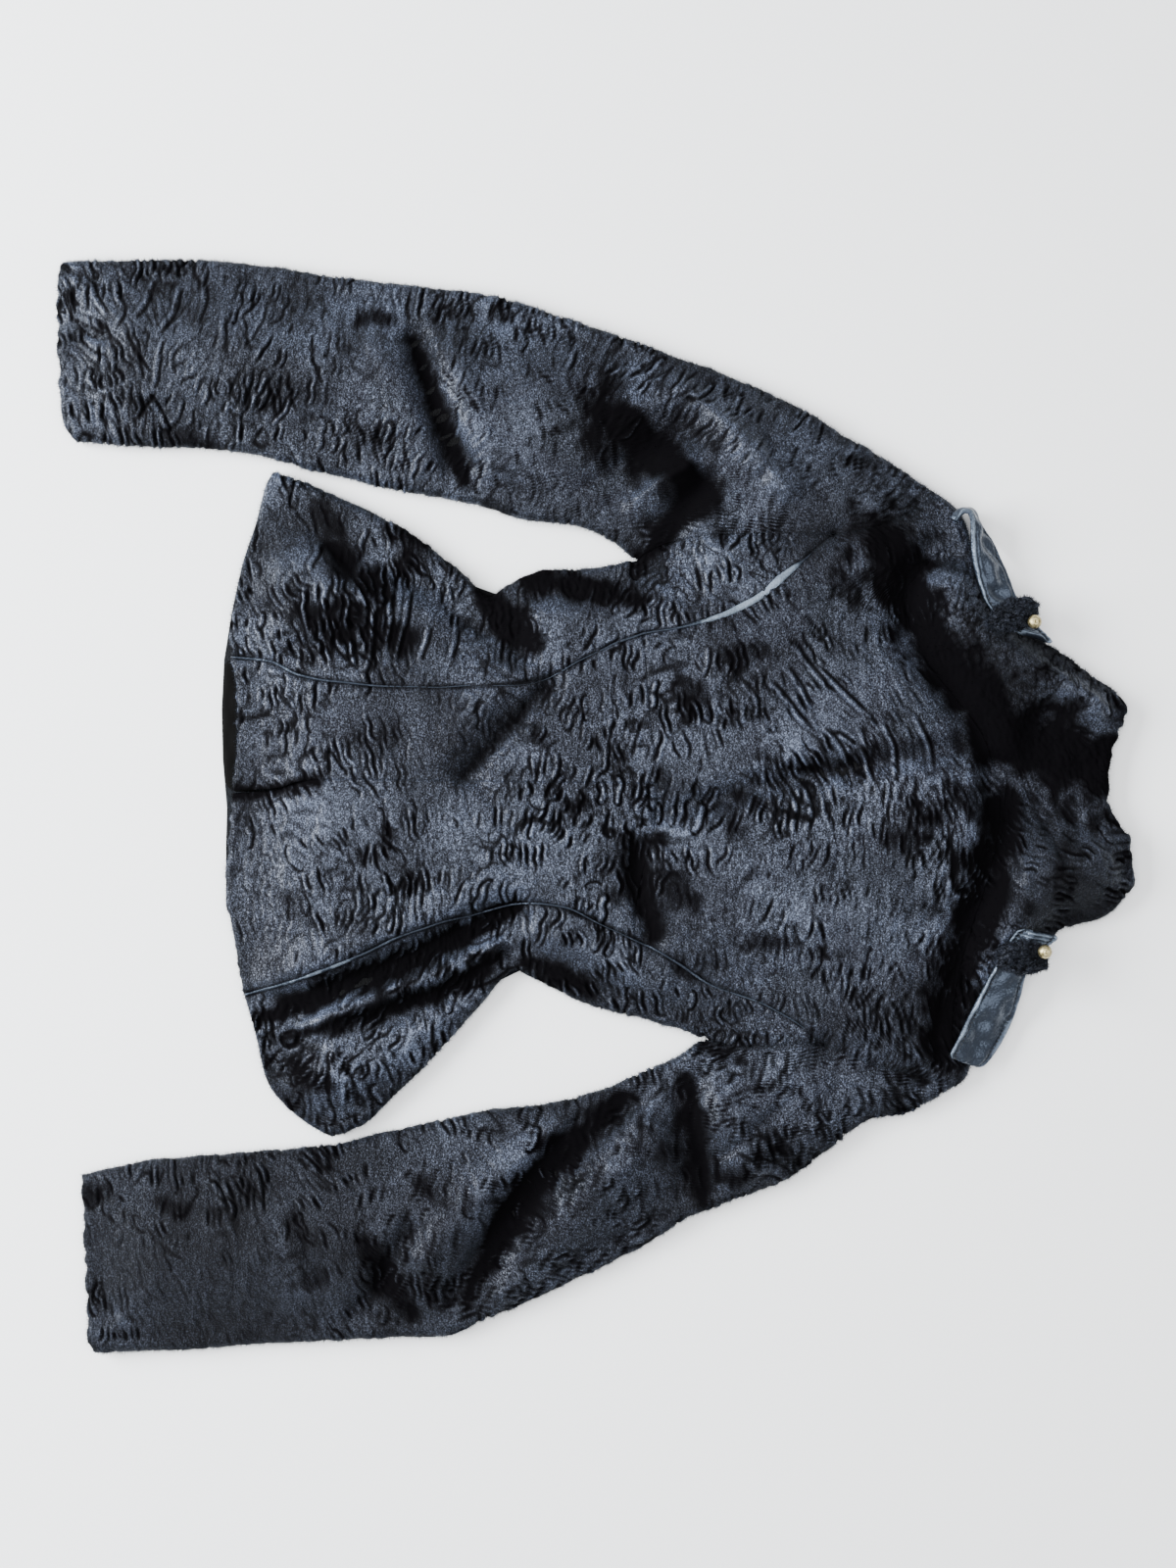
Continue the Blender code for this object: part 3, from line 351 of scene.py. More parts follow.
# Curls that stand out one by one: start, middle, end, strength
MARKED_CURLS = (
    ((-169, -224), (-150, -222), (-128, -219), 1.5),
    ((-170, -207), (-146, -206), (-124, -204), 1.5),
    ((-155, -190), (-131, -189), (-105, -184), 1.7),
    ((-155, -168), (-131, -172), (-105, -174), 1.6),
    ((-165, -156), (-139, -159), (-118, -160), 1.5),
    ((-169, -142), (-139, -148), (-112, -153), 1.6),
    ((-139, -128), (-125, -132), (-112, -136), 1.4),
    ((-139, -107), (-125, -110), (-112, -112), 1.4),
    ((-201, -212), (-190, -216), (-180, -218), 1.3),
    ((-214, -178), (-203, -180), (-193, -183), 1.3),
    ((-110, 95), (-96, 106), (-78, 123), 1.2),
    ((-96, 130), (-80, 142), (-60, 160), 1.5),
    ((-124, 146), (-108, 158), (-92, 173), 1.3),
    ((-108, 141), (-90, 152), (-75, 162), 1.2),
    ((-106, 164), (-88, 184), (-70, 202), 1.4),
    ((-64, 196), (-44, 201), (-18, 206), 1.4),
    ((-67, 215), (-44, 222), (-22, 226), 1.4),
    ((-72, 238), (-50, 248), (-28, 252), 1.3),
    ((-60, 172), (-46, 182), (-30, 190), 1.2),
    ((-12, 128), (2, 132), (20, 134), 1.5),
    ((-14, 144), (4, 149), (20, 147), 1.5),
    ((-16, 157), (0, 160), (16, 158), 1.4),
    ((-8, 170), (6, 172), (16, 176), 1.3),
    ((-398, -368), (-380, -362), (-366, -366), 1.4),
    ((-402, -388), (-388, -382), (-374, -374), 1.3),
    ((-405, -338), (-390, -342), (-372, -352), 1.4),
    ((-398, -318), (-380, -322), (-360, -332), 1.5),
    ((-400, -300), (-384, -300), (-366, -304), 1.3),
    ((-352, -352), (-340, -350), (-324, -346), 1.3),
    ((-345, -332), (-332, -334), (-320, -338), 1.2),
    ((-372, -284), (-360, -284), (-346, -286), 1.2),
    ((-371, -272), (-358, -268), (-344, -266), 1.2),
    ((-336, -262), (-322, -266), (-306, -270), 1.3),
    ((-330, -240), (-316, -246), (-304, -252), 1.2),
)

# Places of painted light (lightness above 1) and painted shade (below 1): X, Y, reach, lightness
PAINTED_LIGHT_AND_SHADE = (
    (330, -300, 130, 0.57),
    (350, -170, 90, 0.72),
    (60, 355, 55, 0.5),
    (-125, 320, 50, 0.46),
    (-330, -330, 110, 0.88),
    (-215, 200, 50, 0.75),
    (-200, -30, 60, 0.75),
    (150, -20, 60, 0.75),
    (300, 60, 70, 0.8),
    (190, 225, 55, 0.75),
    (-20, 250, 60, 1.15),
    (200, -140, 60, 1.22),
    (0, -130, 90, 0.93),
    (30, 170, 70, 1.08),
    (-140, 60, 40, 1.1),
)

# Places where the pile is crumbled rather than curled: X, Y, reach, share
CRUMB_PLACES = (
    (-150, 300, 52, 1.0),
    (-95, 345, 40, 0.9),
    (-235, 225, 46, 0.9),
    (-255, 160, 45, 0.6),
    (105, 305, 34, 0.9),
    (60, 370, 46, 0.4),
    (160, 262, 30, 0.6),
    (-285, 50, 45, 0.5),
    (-80, -30, 45, 0.4),
    (290, 40, 60, 0.4),
    (-290, -60, 45, 0.4),
    (-135, -60, 40, 0.6),
    (-250, -330, 30, 0.4),
)

# Which way the curls run, by place: X, Y, reach, degrees from the garment's width, strength
CURL_TURNS = (
    (-60, 175, 70, 42, 1.0),
    (-90, 210, 60, 12, 1.0),
    (-60, -70, 60, -40, 0.7),
    (0, -190, 90, 18, 0.7),
    (120, -160, 60, -25, 0.9),
    (-30, 340, 60, 80, 0.3),
    (60, 360, 50, 78, 1.1),
    (-130, 300, 50, 50, 0.5),
    (330, -250, 120, 12, 1.15),
    (300, 0, 100, -35, 0.95),
    (-340, -330, 110, 4, 1.2),
    (-160, -190, 80, 6, 1.25),
    (90, 170, 90, -8, 1.15),
)

# Where the curls are larger than the rest: X, Y, reach, size
CURL_SIZES = (
    (-350, -300, 120, 1.4),
    (-180, -200, 70, 1.25),
    (110, 170, 70, 1.2),
    (-60, 180, 60, 1.2),
    (0, 330, 60, 1.3),
    (330, -250, 120, 0.9),
)

# Straps, from the shoulder to the tab past the keeper: inner edge X, Y, Z, outer edge X, Y, Z
STRAPS = {
    "left": (
        (-219, 270, 27, -218, 271, 15.5),
        (-225, 275, 29, -226, 277, 14),
        (-226, 279, 30, -229, 282, 8),
        (-221, 283, 30, -222, 291, 4),
        (-210, 284, 28, -208, 300, 5),
        (-196, 284, 25, -191, 308, 8),
        (-180, 287, 22, -174, 315, 11),
        (-160, 293, 21, -158, 320, 14),
        (-145, 303, 21, -143, 331, 15),
        (-135, 315, 23, -125, 348, 18),
    ),
    "right": (
        (189, 266, 16, 199, 293, 4),
        (180, 271, 18, 192, 300, 5),
        (164, 279, 19, 179, 309, 7),
        (148, 287, 20, 162, 317, 10),
        (131, 295, 20, 142, 322, 12),
        (116, 302, 21, 122, 326, 14),
        (104, 308, 21, 109, 335, 16),
        (90, 317, 23, 97, 350, 18),
    ),
}
STRAP_STATIONS = 15
STRAP_ACROSS = 5
STRAP_LOOK = 3.0            # how far around a point the cloth below it is looked at

# Keepers: middle X, Y, half length X, Y across the strap, half width along it
KEEPERS = {
    "left": ((-147, 315), (-7, 18), 11),
    "right": ((112, 320), (1, 19), 12),
}
KEEPER_DROP = 6.0
STUD_PLACES = {"left": (-141, 329), "right": (107, 335)}

# Hem facing: its ends in X and its upper edge in Y
FACING_REACH = (-115, -13)
FACING_TOP = -262


# ---------------------------------------------------------------- plan curves

def dense(marks):
    """The smooth curve through marked points, as many short steps."""
    marks = np.array(marks, float)
    knots = np.vstack([2 * marks[0] - marks[1], marks, 2 * marks[-1] - marks[-2]])
    fine = []
    for a, b, c, d in zip(knots, knots[1:], knots[2:], knots[3:]):
        for t in np.linspace(0, 1, CURVE_STEPS, endpoint=False):
            bend = 2 * a - 5 * b + 4 * c - d
            twist = 3 * b - a - 3 * c + d
            fine.append(0.5 * (2 * b + (c - a) * t + bend * t ** 2 + twist * t ** 3))
    return np.array(fine + [marks[-1]])


def bell(away, width):
    """1 at no distance, falling off softly over the width."""
    return np.exp(-(away / width) ** 2)


def length_of(curve):
    return np.linalg.norm(np.diff(curve, axis=0), axis=1).sum()


def sampled(curve, shares):
    """Points at the given shares of a curve's length."""
    lengths = np.linalg.norm(np.diff(curve, axis=0), axis=1)
    run = np.concatenate([[0], np.cumsum(lengths)])
    return np.column_stack([np.interp(shares * run[-1], run, column) for column in curve.T])


def vent_edge(half_gap):
    """One edge of the centre back seam, which opens as a vent at the hem."""
    edge = dense(SEAMS["centre_back"])
    opening = np.clip((VENT_TOP - edge[:, 1]) / (VENT_TOP - edge[0, 1]), 0, 1)
    edge[:, 0] += half_gap * opening
    return edge


CURVES = {name: dense(marks) for name, marks in SEAMS.items()}
CURVES["vent_left"] = vent_edge(-VENT_HALF_GAP)
CURVES["vent_right"] = vent_edge(VENT_HALF_GAP)


def walked(names):
    """Seams end to end as one curve; a name that starts with - is walked backwards."""
    parts = [CURVES[name.lstrip("-")][::-1 if name.startswith("-") else 1] for name in names]
    return np.vstack([parts[0]] + [part[1:] for part in parts[1:]])


def steps_along(length, step, near_start=False, near_end=False):
    """Shares of an edge at an even spacing, closer together at a folded end."""
    weights = np.ones(max(6, round(length / step)))
    close = (0.15, 0.3, 0.5, 0.7, 0.85) if step < 3 else (0.15, 0.25, 0.35, 0.5)
    if near_start:
        weights[:len(close)] = close
    if near_end:
        weights[-len(close):] = close[::-1]
    run = np.concatenate([[0], np.cumsum(weights)])
    return run / run[-1]


def plan_of(panel, step_along, step_across):
    """A panel's plan grid between its four edges."""
    bottom, right, top, left, folded = panel
    sides = [walked(left), walked(right)]
    ends = [walked(bottom), walked(top) if top else None]
    across = steps_along(length_of(ends[0]), step_across, "left" in folded, "right" in folded)
    along = steps_along(max(length_of(side) for side in sides), step_along)
    left, right = (sampled(side, along) for side in sides)
    bottom = sampled(ends[0], across)
    top = sampled(ends[1], across) if top else np.repeat(left[-1:], len(across), axis=0)
    for edge, start, end in ((bottom, left[0], right[0]), (top, left[-1], right[-1])):
        edge += (1 - across)[:, None] * (start - edge[0]) + across[:, None] * (end - edge[-1])
    u, v = across[None, :, None], along[:, None, None]
    grid = (1 - v) * bottom + v * top + (1 - u) * left[:, None] + u * right[:, None]
    grid -= (1 - v) * ((1 - u) * bottom[0] + u * bottom[-1])
    return grid - v * ((1 - u) * top[0] + u * top[-1])


# ---------------------------------------------------------------- the lie of the cloth

def outline_parts():
    starts, ends, folded = [], [], []
    for name, shut in OUTLINE:
        curve = sampled(walked([name]), np.linspace(0, 1, 25))
        starts.append(curve[:-1])
        ends.append(curve[1:])
        folded.append(np.full(len(curve) - 1, shut))
    return np.vstack(starts), np.vstack(ends), np.concatenate(folded)


STARTS, ENDS, FOLDED = outline_parts()


def nearest(points, starts, ends):
    """Distance from each point to its nearest segment, that segment, and where on it."""
    along = ends - starts
    length2 = (along ** 2).sum(1)
    gaps, picks, shares = [], [], []
    for some in np.array_split(points, len(points) * len(starts) // 1500000 + 1):
        offset = some[:, None] - starts[None]
        t = np.clip((offset * along).sum(2) / length2, 0, 1)
        gap = ((offset - t[:, :, None] * along) ** 2).sum(2)
        pick = gap.argmin(1)
        rows = np.arange(len(some))
        gaps.append(np.sqrt(gap[rows, pick]))
        picks.append(pick)
        shares.append(t[rows, pick])
    return np.concatenate(gaps), np.concatenate(picks), np.concatenate(shares)


def add_folds(total, fade, plan, rows):
    """Add ridges and troughs to a height, each only where it reaches."""
    for start, middle, end, width, height in rows:
        path = sampled(dense([start, middle, end]), np.linspace(0, 1, 11))
        reach = 3.2 * width
        near = ((plan > path.min(0) - reach) & (plan < path.max(0) + reach)).all(1)
        if near.any():
            away = nearest(plan[near], path[:-1], path[1:])[0]
            total[near] += height * fade[near] * bell(away, width)


SEAM_TROUGHS = (
    ("neckline_left", 15, -10),
    ("neckline_right", 15, -12),
    ("armhole_lower_left", 10, -3),
    ("armhole_upper_left", 10, -3),
    ("armhole_lower_right", 10, -3),
    ("armhole_upper_right", 10, -3),
)
OPEN_ROUNDING = 4.5         # width of the soft rounding at an open edge
OPEN_DROP = 2.6
CREASE_SOFTNESS = 0.8       # keeps the deepest creases off the cloth below, as a square


def lie(plan):
    """Height of the upper cloth's face over the plan, and the distance from the outline."""
    reach = nearest(plan, STARTS, ENDS)[0]
    total = PUFF_HEIGHT * (1 - bell(reach, PUFF_REACH))
    fade = 1 - bell(reach, FOLD_EDGE_FADE)
    add_folds(total, fade, plan, FOLDS)
    for name, width, height in SEAM_TROUGHS:
        path = sampled(CURVES[name], np.linspace(0, 1, 15))
        away = nearest(plan, path[:-1], path[1:])[0]
        total += height * fade * bell(away, width)
    total = 0.5 * (total + np.sqrt(total ** 2 + LAY_SOFTNESS ** 2))
    add_folds(total, fade, plan, CREASES)
    total = 0.5 * (total + np.sqrt(total ** 2 + CREASE_SOFTNESS))
    return SIDE_SEAM_LEVEL + SEAM_GAP / 2 + turned(plan, reach) + total - dropped(plan, reach), reach


def turned(plan, reach):
    """How far a folded side has turned up at each point."""
    rise = np.full(len(plan), EDGE_RADIUS)
    near = reach < EDGE_RADIUS + 1
    inset = nearest(plan[near], STARTS[FOLDED], ENDS[FOLDED])[0]
    short = np.clip(EDGE_RADIUS - inset, 0, EDGE_RADIUS)
    rise[near] = np.sqrt(EDGE_RADIUS ** 2 - short ** 2)
    return rise


def dropped(plan, reach):
    """How far the upper face rounds over at an open edge, such as a hem."""
    drop = np.zeros(len(plan))
    near = reach < OPEN_ROUNDING
    inset = nearest(plan[near], STARTS[~FOLDED], ENDS[~FOLDED])[0]
    short = np.clip(1 - inset / OPEN_ROUNDING, 0, 1)
    drop[near] = OPEN_DROP * (1 - np.sqrt(1 - short ** 2))
    return drop


def inside(points):
    """Whether plan points lie within the outline."""
    x, y = points[:, :1], points[:, 1:]
    crosses = (STARTS[:, 1] > y) != (ENDS[:, 1] > y)
    rise = ENDS[:, 1] - STARTS[:, 1]
    slope = (ENDS[:, 0] - STARTS[:, 0]) / np.where(rise == 0, 1, rise)
    left_of = x < STARTS[:, 0] + (y - STARTS[:, 1]) * slope
    return (crosses & left_of).sum(1) % 2 == 1


# ---------------------------------------------------------------- maps of the pile

def softened(field, cell, along_x, along_y):
    """A map blurred by a bell of the given radii, in millimetres."""
    fx = np.fft.fftfreq(field.shape[0], cell)[:, None]
    fy = np.fft.rfftfreq(field.shape[1], cell)[None]
    blur = np.exp(-2 * math.pi ** 2 * ((fx * along_x) ** 2 + (fy * along_y) ** 2))
    return np.fft.irfft2(np.fft.rfft2(field) * blur, field.shape)


def soft_noise(rng, along_x, along_y):
    """Soft noise over the maps, as often above as below 0."""
    field = softened(rng.standard_normal(MAP_CELLS), GRAIN, along_x, along_y)
    return (field - field.mean()) / field.std()


def soft_patches(rng, shape, along, across, cell=1.0):
    """Soft noise over a small grid."""
    field = softened(rng.standard_normal(shape), cell, along, across)
    return field / field.std()


def read(field, plan, cell=GRAIN):
    """A map's value at plan points, between its cells."""
    at = (plan - MAP_LOW) / cell - 0.5
    low = np.clip(np.floor(at).astype(int), 0, np.array(field.shape) - 2)
    part = np.clip(at - low, 0, 1)
    (i, j), (s, t) = low.T, part.T
    return ((1 - s) * (1 - t) * field[i, j] + s * (1 - t) * field[i + 1, j]
            + (1 - s) * t * field[i, j + 1] + s * t * field[i + 1, j + 1])


DARK_SINK = 1.2             # how far the ground under painted shade lies below the rest
DARK_EDGE = 1.6             # how far its edge reaches, as a share of its width


class PileMap:
    """Height of the curly pile over the plan, with painted shade in its furrows and painted highlights
    on its ridges.
    """

    def __init__(self):
        self.height = np.zeros(MAP_CELLS)
        self.crevice = np.zeros(MAP_CELLS)
        self.lip = np.zeros(MAP_CELLS)
        self.sunk_shade = np.zeros(MAP_CELLS)

    def cells_near(self, path, reach):
        """The part of the maps near a path, and its cells: distance to the left, share along."""
        low = np.floor((path.min(0) - reach - MAP_LOW) / GRAIN).astype(int)
        high = np.ceil((path.max(0) + reach - MAP_LOW) / GRAIN).astype(int)
        low, high = np.maximum(low, 0), np.minimum(high, MAP_CELLS)
        if (high <= low).any():
            return None, None, None
        window = (slice(low[0], high[0]), slice(low[1], high[1]))
        axes = [MAP_LOW[k] + GRAIN * (np.arange(low[k], high[k]) + 0.5) for k in (0, 1)]
        cells = np.stack(np.meshgrid(*axes, indexing="ij"), axis=-1)
        flat = cells.reshape(-1, 2)
        away, pick, part = nearest(flat, path[:-1], path[1:])
        way = (path[1:] - path[:-1])[pick]
        offset = flat - path[:-1][pick]
        side = np.sign(way[:, 0] * offset[:, 1] - way[:, 1] * offset[:, 0])
        share = (pick + part) / (len(path) - 1)
        shape = cells.shape[:2]
        return window, (away * side).reshape(shape), share.reshape(shape)

    def press(self, path, reach, profile):
        """Work a path into the maps; profile takes the signed distance and the share along it."""
        window, away, share = self.cells_near(path, reach)
        if window:
            height, crevice, lip = profile(away, share)
            self.height[window] += height
            self.crevice[window] = np.maximum(self.crevice[window], crevice)
            self.lip[window] = np.maximum(self.lip[window], lip)

    def sink_and_shade(self, path, reach, strength):
        """Sink the ground along a path and paint shade on it."""
        window, away, _ = self.cells_near(path, DARK_EDGE * reach)
        if window:
            soft = strength * np.exp(-(abs(away) / reach) ** 3)
            self.height[window] -= DARK_SINK * soft
            self.sunk_shade[window] = np.maximum(self.sunk_shade[window], soft)


CURL_REACH = 9.0            # how far a curl's profile is worked in, on either side
GROOVE_REACH = 10.0
RIDGE_ASIDE = 2.4           # from a curl's furrow to its ridge, and to its second furrow
SECOND_ASIDE = 4.6
FULLY_DARK = 1.1            # depth of a furrow at which its painted shade is full


def stroke_profile(rng, strength):
    """A furrow beside a narrow ridge, at times with a thin furrow past the ridge."""
    depth = rng.uniform(0.8, 2.1) * strength
    crest = rng.uniform(0.5, 1.15) * strength
    second = depth * rng.choice((0.0, 0.4, 0.8))
    width = rng.uniform(0.85, 1.3)
    turn = rng.choice((-1, 1))

    def profile(away, share):
        fade = np.clip(np.minimum(share, 1 - share) / 0.3, 0, 1) ** 0.8
        aside = away * turn
        furrow = depth * bell(aside, width * (0.65 + 0.45 * fade))
        furrow += second * bell(aside - SECOND_ASIDE, 0.8)
        ridge = crest * bell(aside - RIDGE_ASIDE, 1.25)
        ridge += 0.35 * crest * bell(aside + 2.7, 1.7)
        swell = 0.3 * strength * bell(aside, 6)
        height = fade * (ridge + swell - furrow)
        return height, fade * np.clip(furrow / FULLY_DARK, 0, 1), fade * np.clip(ridge, 0, 1)

    return profile


def loop_profile(rng, strength):
    """A raised curl with a furrow all round it, deeper on one side."""
    depth = rng.uniform(0.6, 1.4) * strength
    crest = rng.uniform(0.4, 0.9) * strength
    apart = rng.uniform(2.3, 3.3)
    heavy = 0.6 * rng.choice((-1, 1))

    def profile(away, share):
        gap = abs(away)
        uneven = 1 + heavy * np.sign(away) + 0.35 * np.sin(9 * share)
        furrow = depth * uneven * bell(gap - apart, 0.85)
        ridge = crest * bell(gap, 0.55 * apart)
        return ridge - furrow, np.clip(furrow / FULLY_DARK, 0, 1), np.clip(ridge, 0, 1)

    return profile


def marked_profile(strength):
    """A ridge that stands up between two furrows with painted shade."""
    def profile(away, share):
        fade = np.clip(np.minimum(share, 1 - share) / 0.12, 0, 1) ** 0.7
        ridge = strength * bell(away, 1.5)
        furrow = strength * (bell(away - 3.2, 1.2)
                             + 0.5 * bell(away + 3.0, 0.9))
        return fade * (ridge - furrow), fade * np.clip(furrow, 0, 1), fade * np.clip(ridge, 0, 1)

    return profile


def groove_profile(half_width, depth, dark):
    def profile(away, share):
        uneven = 0.75 + 0.25 * np.sin(share * 61) * np.sin(share * 23 + 1)
        groove = uneven * bell(away, half_width)
        return -depth * groove, dark * groove, 0 * groove

    return profile


COMB_SPACING = (26, 34)
COMB_PITCH = (7.5, 12.0)
STRAY_SPACING = (25, 17)
CURL_STEP = 2.0
CURL_WIGGLE = 0.08
LOOPED = 0.16               # share of the short curls that close on themselves
LOOPED_BELOW = 24           # longest of them
WEAKEST_CURL = 0.12
STRONGEST_CURL = 1.4
DARKENED = 0.12             # share of the combs that lie on sunk ground with painted shade


def map_axes():
    return (MAP_LOW[0] + GRAIN * (np.arange(MAP_CELLS[0])[:, None] + 0.5),
            MAP_LOW[1] + GRAIN * (np.arange(MAP_CELLS[1])[None] + 0.5))


def near_place(x, y, place, reach, hardness=1.0):
    """1 at a place, falling off over its reach."""
    return np.exp(-(((x - place[0]) ** 2 + (y - place[1]) ** 2) / reach ** 2) ** hardness)


def curl_fields(rng):
    """Direction, strength and size of the curls, and the share of crumbled pile, over the plan."""
    x, y = map_axes()
    sizes = np.ones(MAP_CELLS)
    for *place, reach, size in CURL_SIZES:
        sizes += (size - 1) * near_place(x, y, place, reach)
    angles = 0.24 * soft_noise(rng, 24, 24)
    strength = np.clip(0.95 + 0.3 * soft_noise(rng, 24, 24), 0.2, 1.5)
    crumb = np.clip(0.12 + 0.16 * soft_noise(rng, 20, 20), 0.0, 0.6)
    for *place, reach, degrees, power in CURL_TURNS:
        near = near_place(x, y, place, reach)
        angles += near * math.radians(degrees)
        strength *= 1 + near * (power - 1)
    for *place, reach, share in CRUMB_PLACES:
        crumb = np.maximum(crumb, share * near_place(x, y, place, reach, 1.5))
    return angles, strength * (1 - 0.8 * crumb), sizes, crumb


def curl_places(rng, spacing):
    for x in np.arange(-424, 424, spacing[0]):
        for y in np.arange(-418, 418, spacing[1]):
            yield np.array([x, y]) + rng.uniform(-0.5, 0.5, 2) * spacing


def add_comb(rng, pile, place, angles, strength, sizes):
    """A few curls side by side, bent alike."""
    size = float(read(sizes, place[None])[0])
    if rng.random() > 1 / size:
        return
    count = rng.integers(3, 6)
    pitch = rng.uniform(*COMB_PITCH) * (0.5 + 0.5 * size)
    bend = rng.normal(0, 0.024)
    fan = rng.normal(0, 0.07)
    longest = rng.uniform(13, 33) * size
    way = float(read(angles, place[None])[0])
    side = np.array([-math.sin(way), math.cos(way)])
    ahead = np.array([math.cos(way), math.sin(way)])
    for k in range(count):
        step = k - (count - 1) / 2
        start = place + side * step * pitch + ahead * rng.normal(0, 3)
        length = longest * rng.uniform(0.45, 1.1)
        turn = way + fan * step + rng.normal(0, 0.1)
        power = rng.uniform(0.65, 1.25) * float(read(strength, start[None])[0])
        add_curl(rng, pile, start, length, turn, bend, power)
    if rng.random() < DARKENED:
        half = side * count * pitch * 0.33
        wiggle = ahead * rng.normal(0, 4, 3)[:, None]
        ends = np.array([place - half, place, place + half]) + wiggle
        reach = max(7.0, longest * rng.uniform(0.3, 0.45))
        pile.sink_and_shade(sampled(dense(ends), np.linspace(0, 1, 9)), reach, rng.uniform(0.25, 0.6))


def add_curl(rng, pile, place, length, turn, bend, power):
    if power < WEAKEST_CURL or not inside(place[None])[0]:
        return
    looped = rng.random() < LOOPED and length < LOOPED_BELOW
    profile = (loop_profile if looped else stroke_profile)(rng, min(power, STRONGEST_CURL))
    path = curl_path(rng, place, length, turn, bend)
    pile.press(path, CURL_REACH, profile)


def curl_path(rng, place, length, turn, bend):
    """A short path through a place, bent and a little unsteady."""
    count = max(3, round(length / CURL_STEP) + 1)
    run = (np.arange(count) - (count - 1) / 2) * length / (count - 1)
    wave = rng.uniform(0.1, 0.5) * np.sin(run / rng.uniform(1.8, 3.2) + rng.uniform(0, 6))
    turns = turn + bend * run + wave + CURL_WIGGLE * rng.standard_normal(count).cumsum()
    steps = np.column_stack([np.cos(turns), np.sin(turns)]) * length / (count - 1)
    path = steps.cumsum(axis=0)
    return place + path - path[count // 2]


def crimp_field(rng, angles):
    """Long wavy bands that run the way the curls do; a fine groove lies where they change sign."""
    x, y = map_axes()
    lean = np.cumsum(np.tan(np.clip(0.8 * angles, -0.9, 0.9)), axis=0) * GRAIN
    lean -= softened(lean, GRAIN, 60, 60)
    across = y - lean + 3.2 * soft_noise(rng, 7, 9)
    along = x + 8 * soft_noise(rng, 20, 20)
    bands = soft_noise(rng, *CRIMP_SIZE)
    plan = np.stack(np.broadcast_arrays(along, across), axis=-1).reshape(-1, 2)
    return read(bands, plan).reshape(MAP_CELLS)


def press_crimps(pile, bands, share):
    """Pads between fine grooves, as strong as the share says."""
    pile.height += share * 0.95 * (np.minimum(abs(bands), 1.1) - 0.6)
    # painted shade in the fine grooves, painted highlights on the pads
    pile.crevice = np.maximum(pile.crevice, share * np.clip(1.1 - abs(bands) / 0.38, 0, 1))
    pile.lip = np.maximum(pile.lip, 0.5 * share * np.clip(abs(bands) - 0.7, 0, 1))


CRIMP_SIZE = (4.6, 1.45)
CRUMB_SIZE = (1.75, 1.35)
MARKED_STEPS = 13


def make_pile_map():
    rng = np.random.default_rng(11)
    pile = PileMap()
    angles, strength, sizes, crumb = curl_fields(rng)
    for place in curl_places(rng, STRAY_SPACING):
        power = rng.uniform(0.25, 0.6) * float(read(strength, place[None])[0])
        turn = float(read(angles, place[None])[0]) + rng.normal(0, 0.3)
        add_curl(rng, pile, place, rng.uniform(6, 15), turn, rng.normal(0, 0.05), power)
    for place in curl_places(rng, COMB_SPACING):
        add_comb(rng, pile, place, angles, strength, sizes)
    for start, middle, end, power in MARKED_CURLS:
        path = sampled(dense([start, middle, end]), np.linspace(0, 1, MARKED_STEPS))
        sway = rng.uniform(0.4, 1.3) * np.sin(np.linspace(0, 8, MARKED_STEPS) + rng.uniform(0, 6))
        path = path + np.column_stack([0 * sway, sway])
        pile.press(path, CURL_REACH, marked_profile(0.72 * power))
    for name, half_width, depth, dark in SEAM_GROOVES:
        path = sampled(CURVES[name], np.linspace(0, 1, 40))
        pile.press(path, GROOVE_REACH, groove_profile(half_width, depth, dark))
    pile.sunk_shade *= np.clip(0.75 + 0.45 * soft_noise(rng, 4, 3), 0, 1.15)
    fade = np.clip(0.64 + 0.32 * soft_noise(rng, 13, 10), 0.15, 1.0)
    press_crimps(pile, crimp_field(rng, angles), fade * (1 - crumb) * np.clip(strength, 0.5, 1.1))
    press_crimps(pile, soft_noise(rng, *CRUMB_SIZE), np.clip(1.15 * crumb - 0.1, 0, 1))
    x, y = map_axes()
    # painted light and painted shade by place, with a little random tone
    pile.shade = np.ones(MAP_CELLS)
    for *place, reach, lightness in PAINTED_LIGHT_AND_SHADE:
        pile.shade *= 1 + near_place(x, y, place, reach, 1.3) * (lightness - 1)
    pile.shade *= np.clip(1 + 0.10 * soft_noise(rng, 14, 12), 0.7, 1.3)
    pile.tufts = soft_noise(rng, 2.2, 1.6)
    pile.height += 0.14 * pile.tufts + 0.13 * soft_noise(rng, 1.2, 1.0)
    pile.height += 0.3 * soft_noise(rng, 8, 5)
    return pile


# Grooves pressed along seams: seam, half width, depth, how dark their painted shade is
SEAM_GROOVES = (
    ("princess_lower_left", 2.4, 1.8, 0.9),
    ("princess_upper_left", 2.4, 1.6, 0.8),
    ("princess_lower_right", 2.6, 2.0, 1.0),
    ("princess_upper_right", 2.2, 1.6, 0.8),
    ("waist_left", 1.3, 0.8, 0.4),
    ("waist_right", 1.3, 0.8, 0.35),
    ("centre_back", 1.2, 0.3, 0.12),
    ("armhole_lower_left", 2.4, 0.8, 0.25),
    ("armhole_upper_left", 2.4, 0.6, 0.2),
    ("armhole_lower_right", 2.4, 0.8, 0.3),
    ("armhole_upper_right", 2.4, 0.6, 0.2),
)


WIDE_PLACE = 15             # painted shadows narrower than this taper to their ends
FULLY_SUNK = 7.0            # millimetres below the cloth around it at which painted shade is full, and above it for full painted light
# painted shadow along the open vent's edges: edge, reach
VENT_SHADE = {"vent_left": 2.5, "vent_right": 5.5}


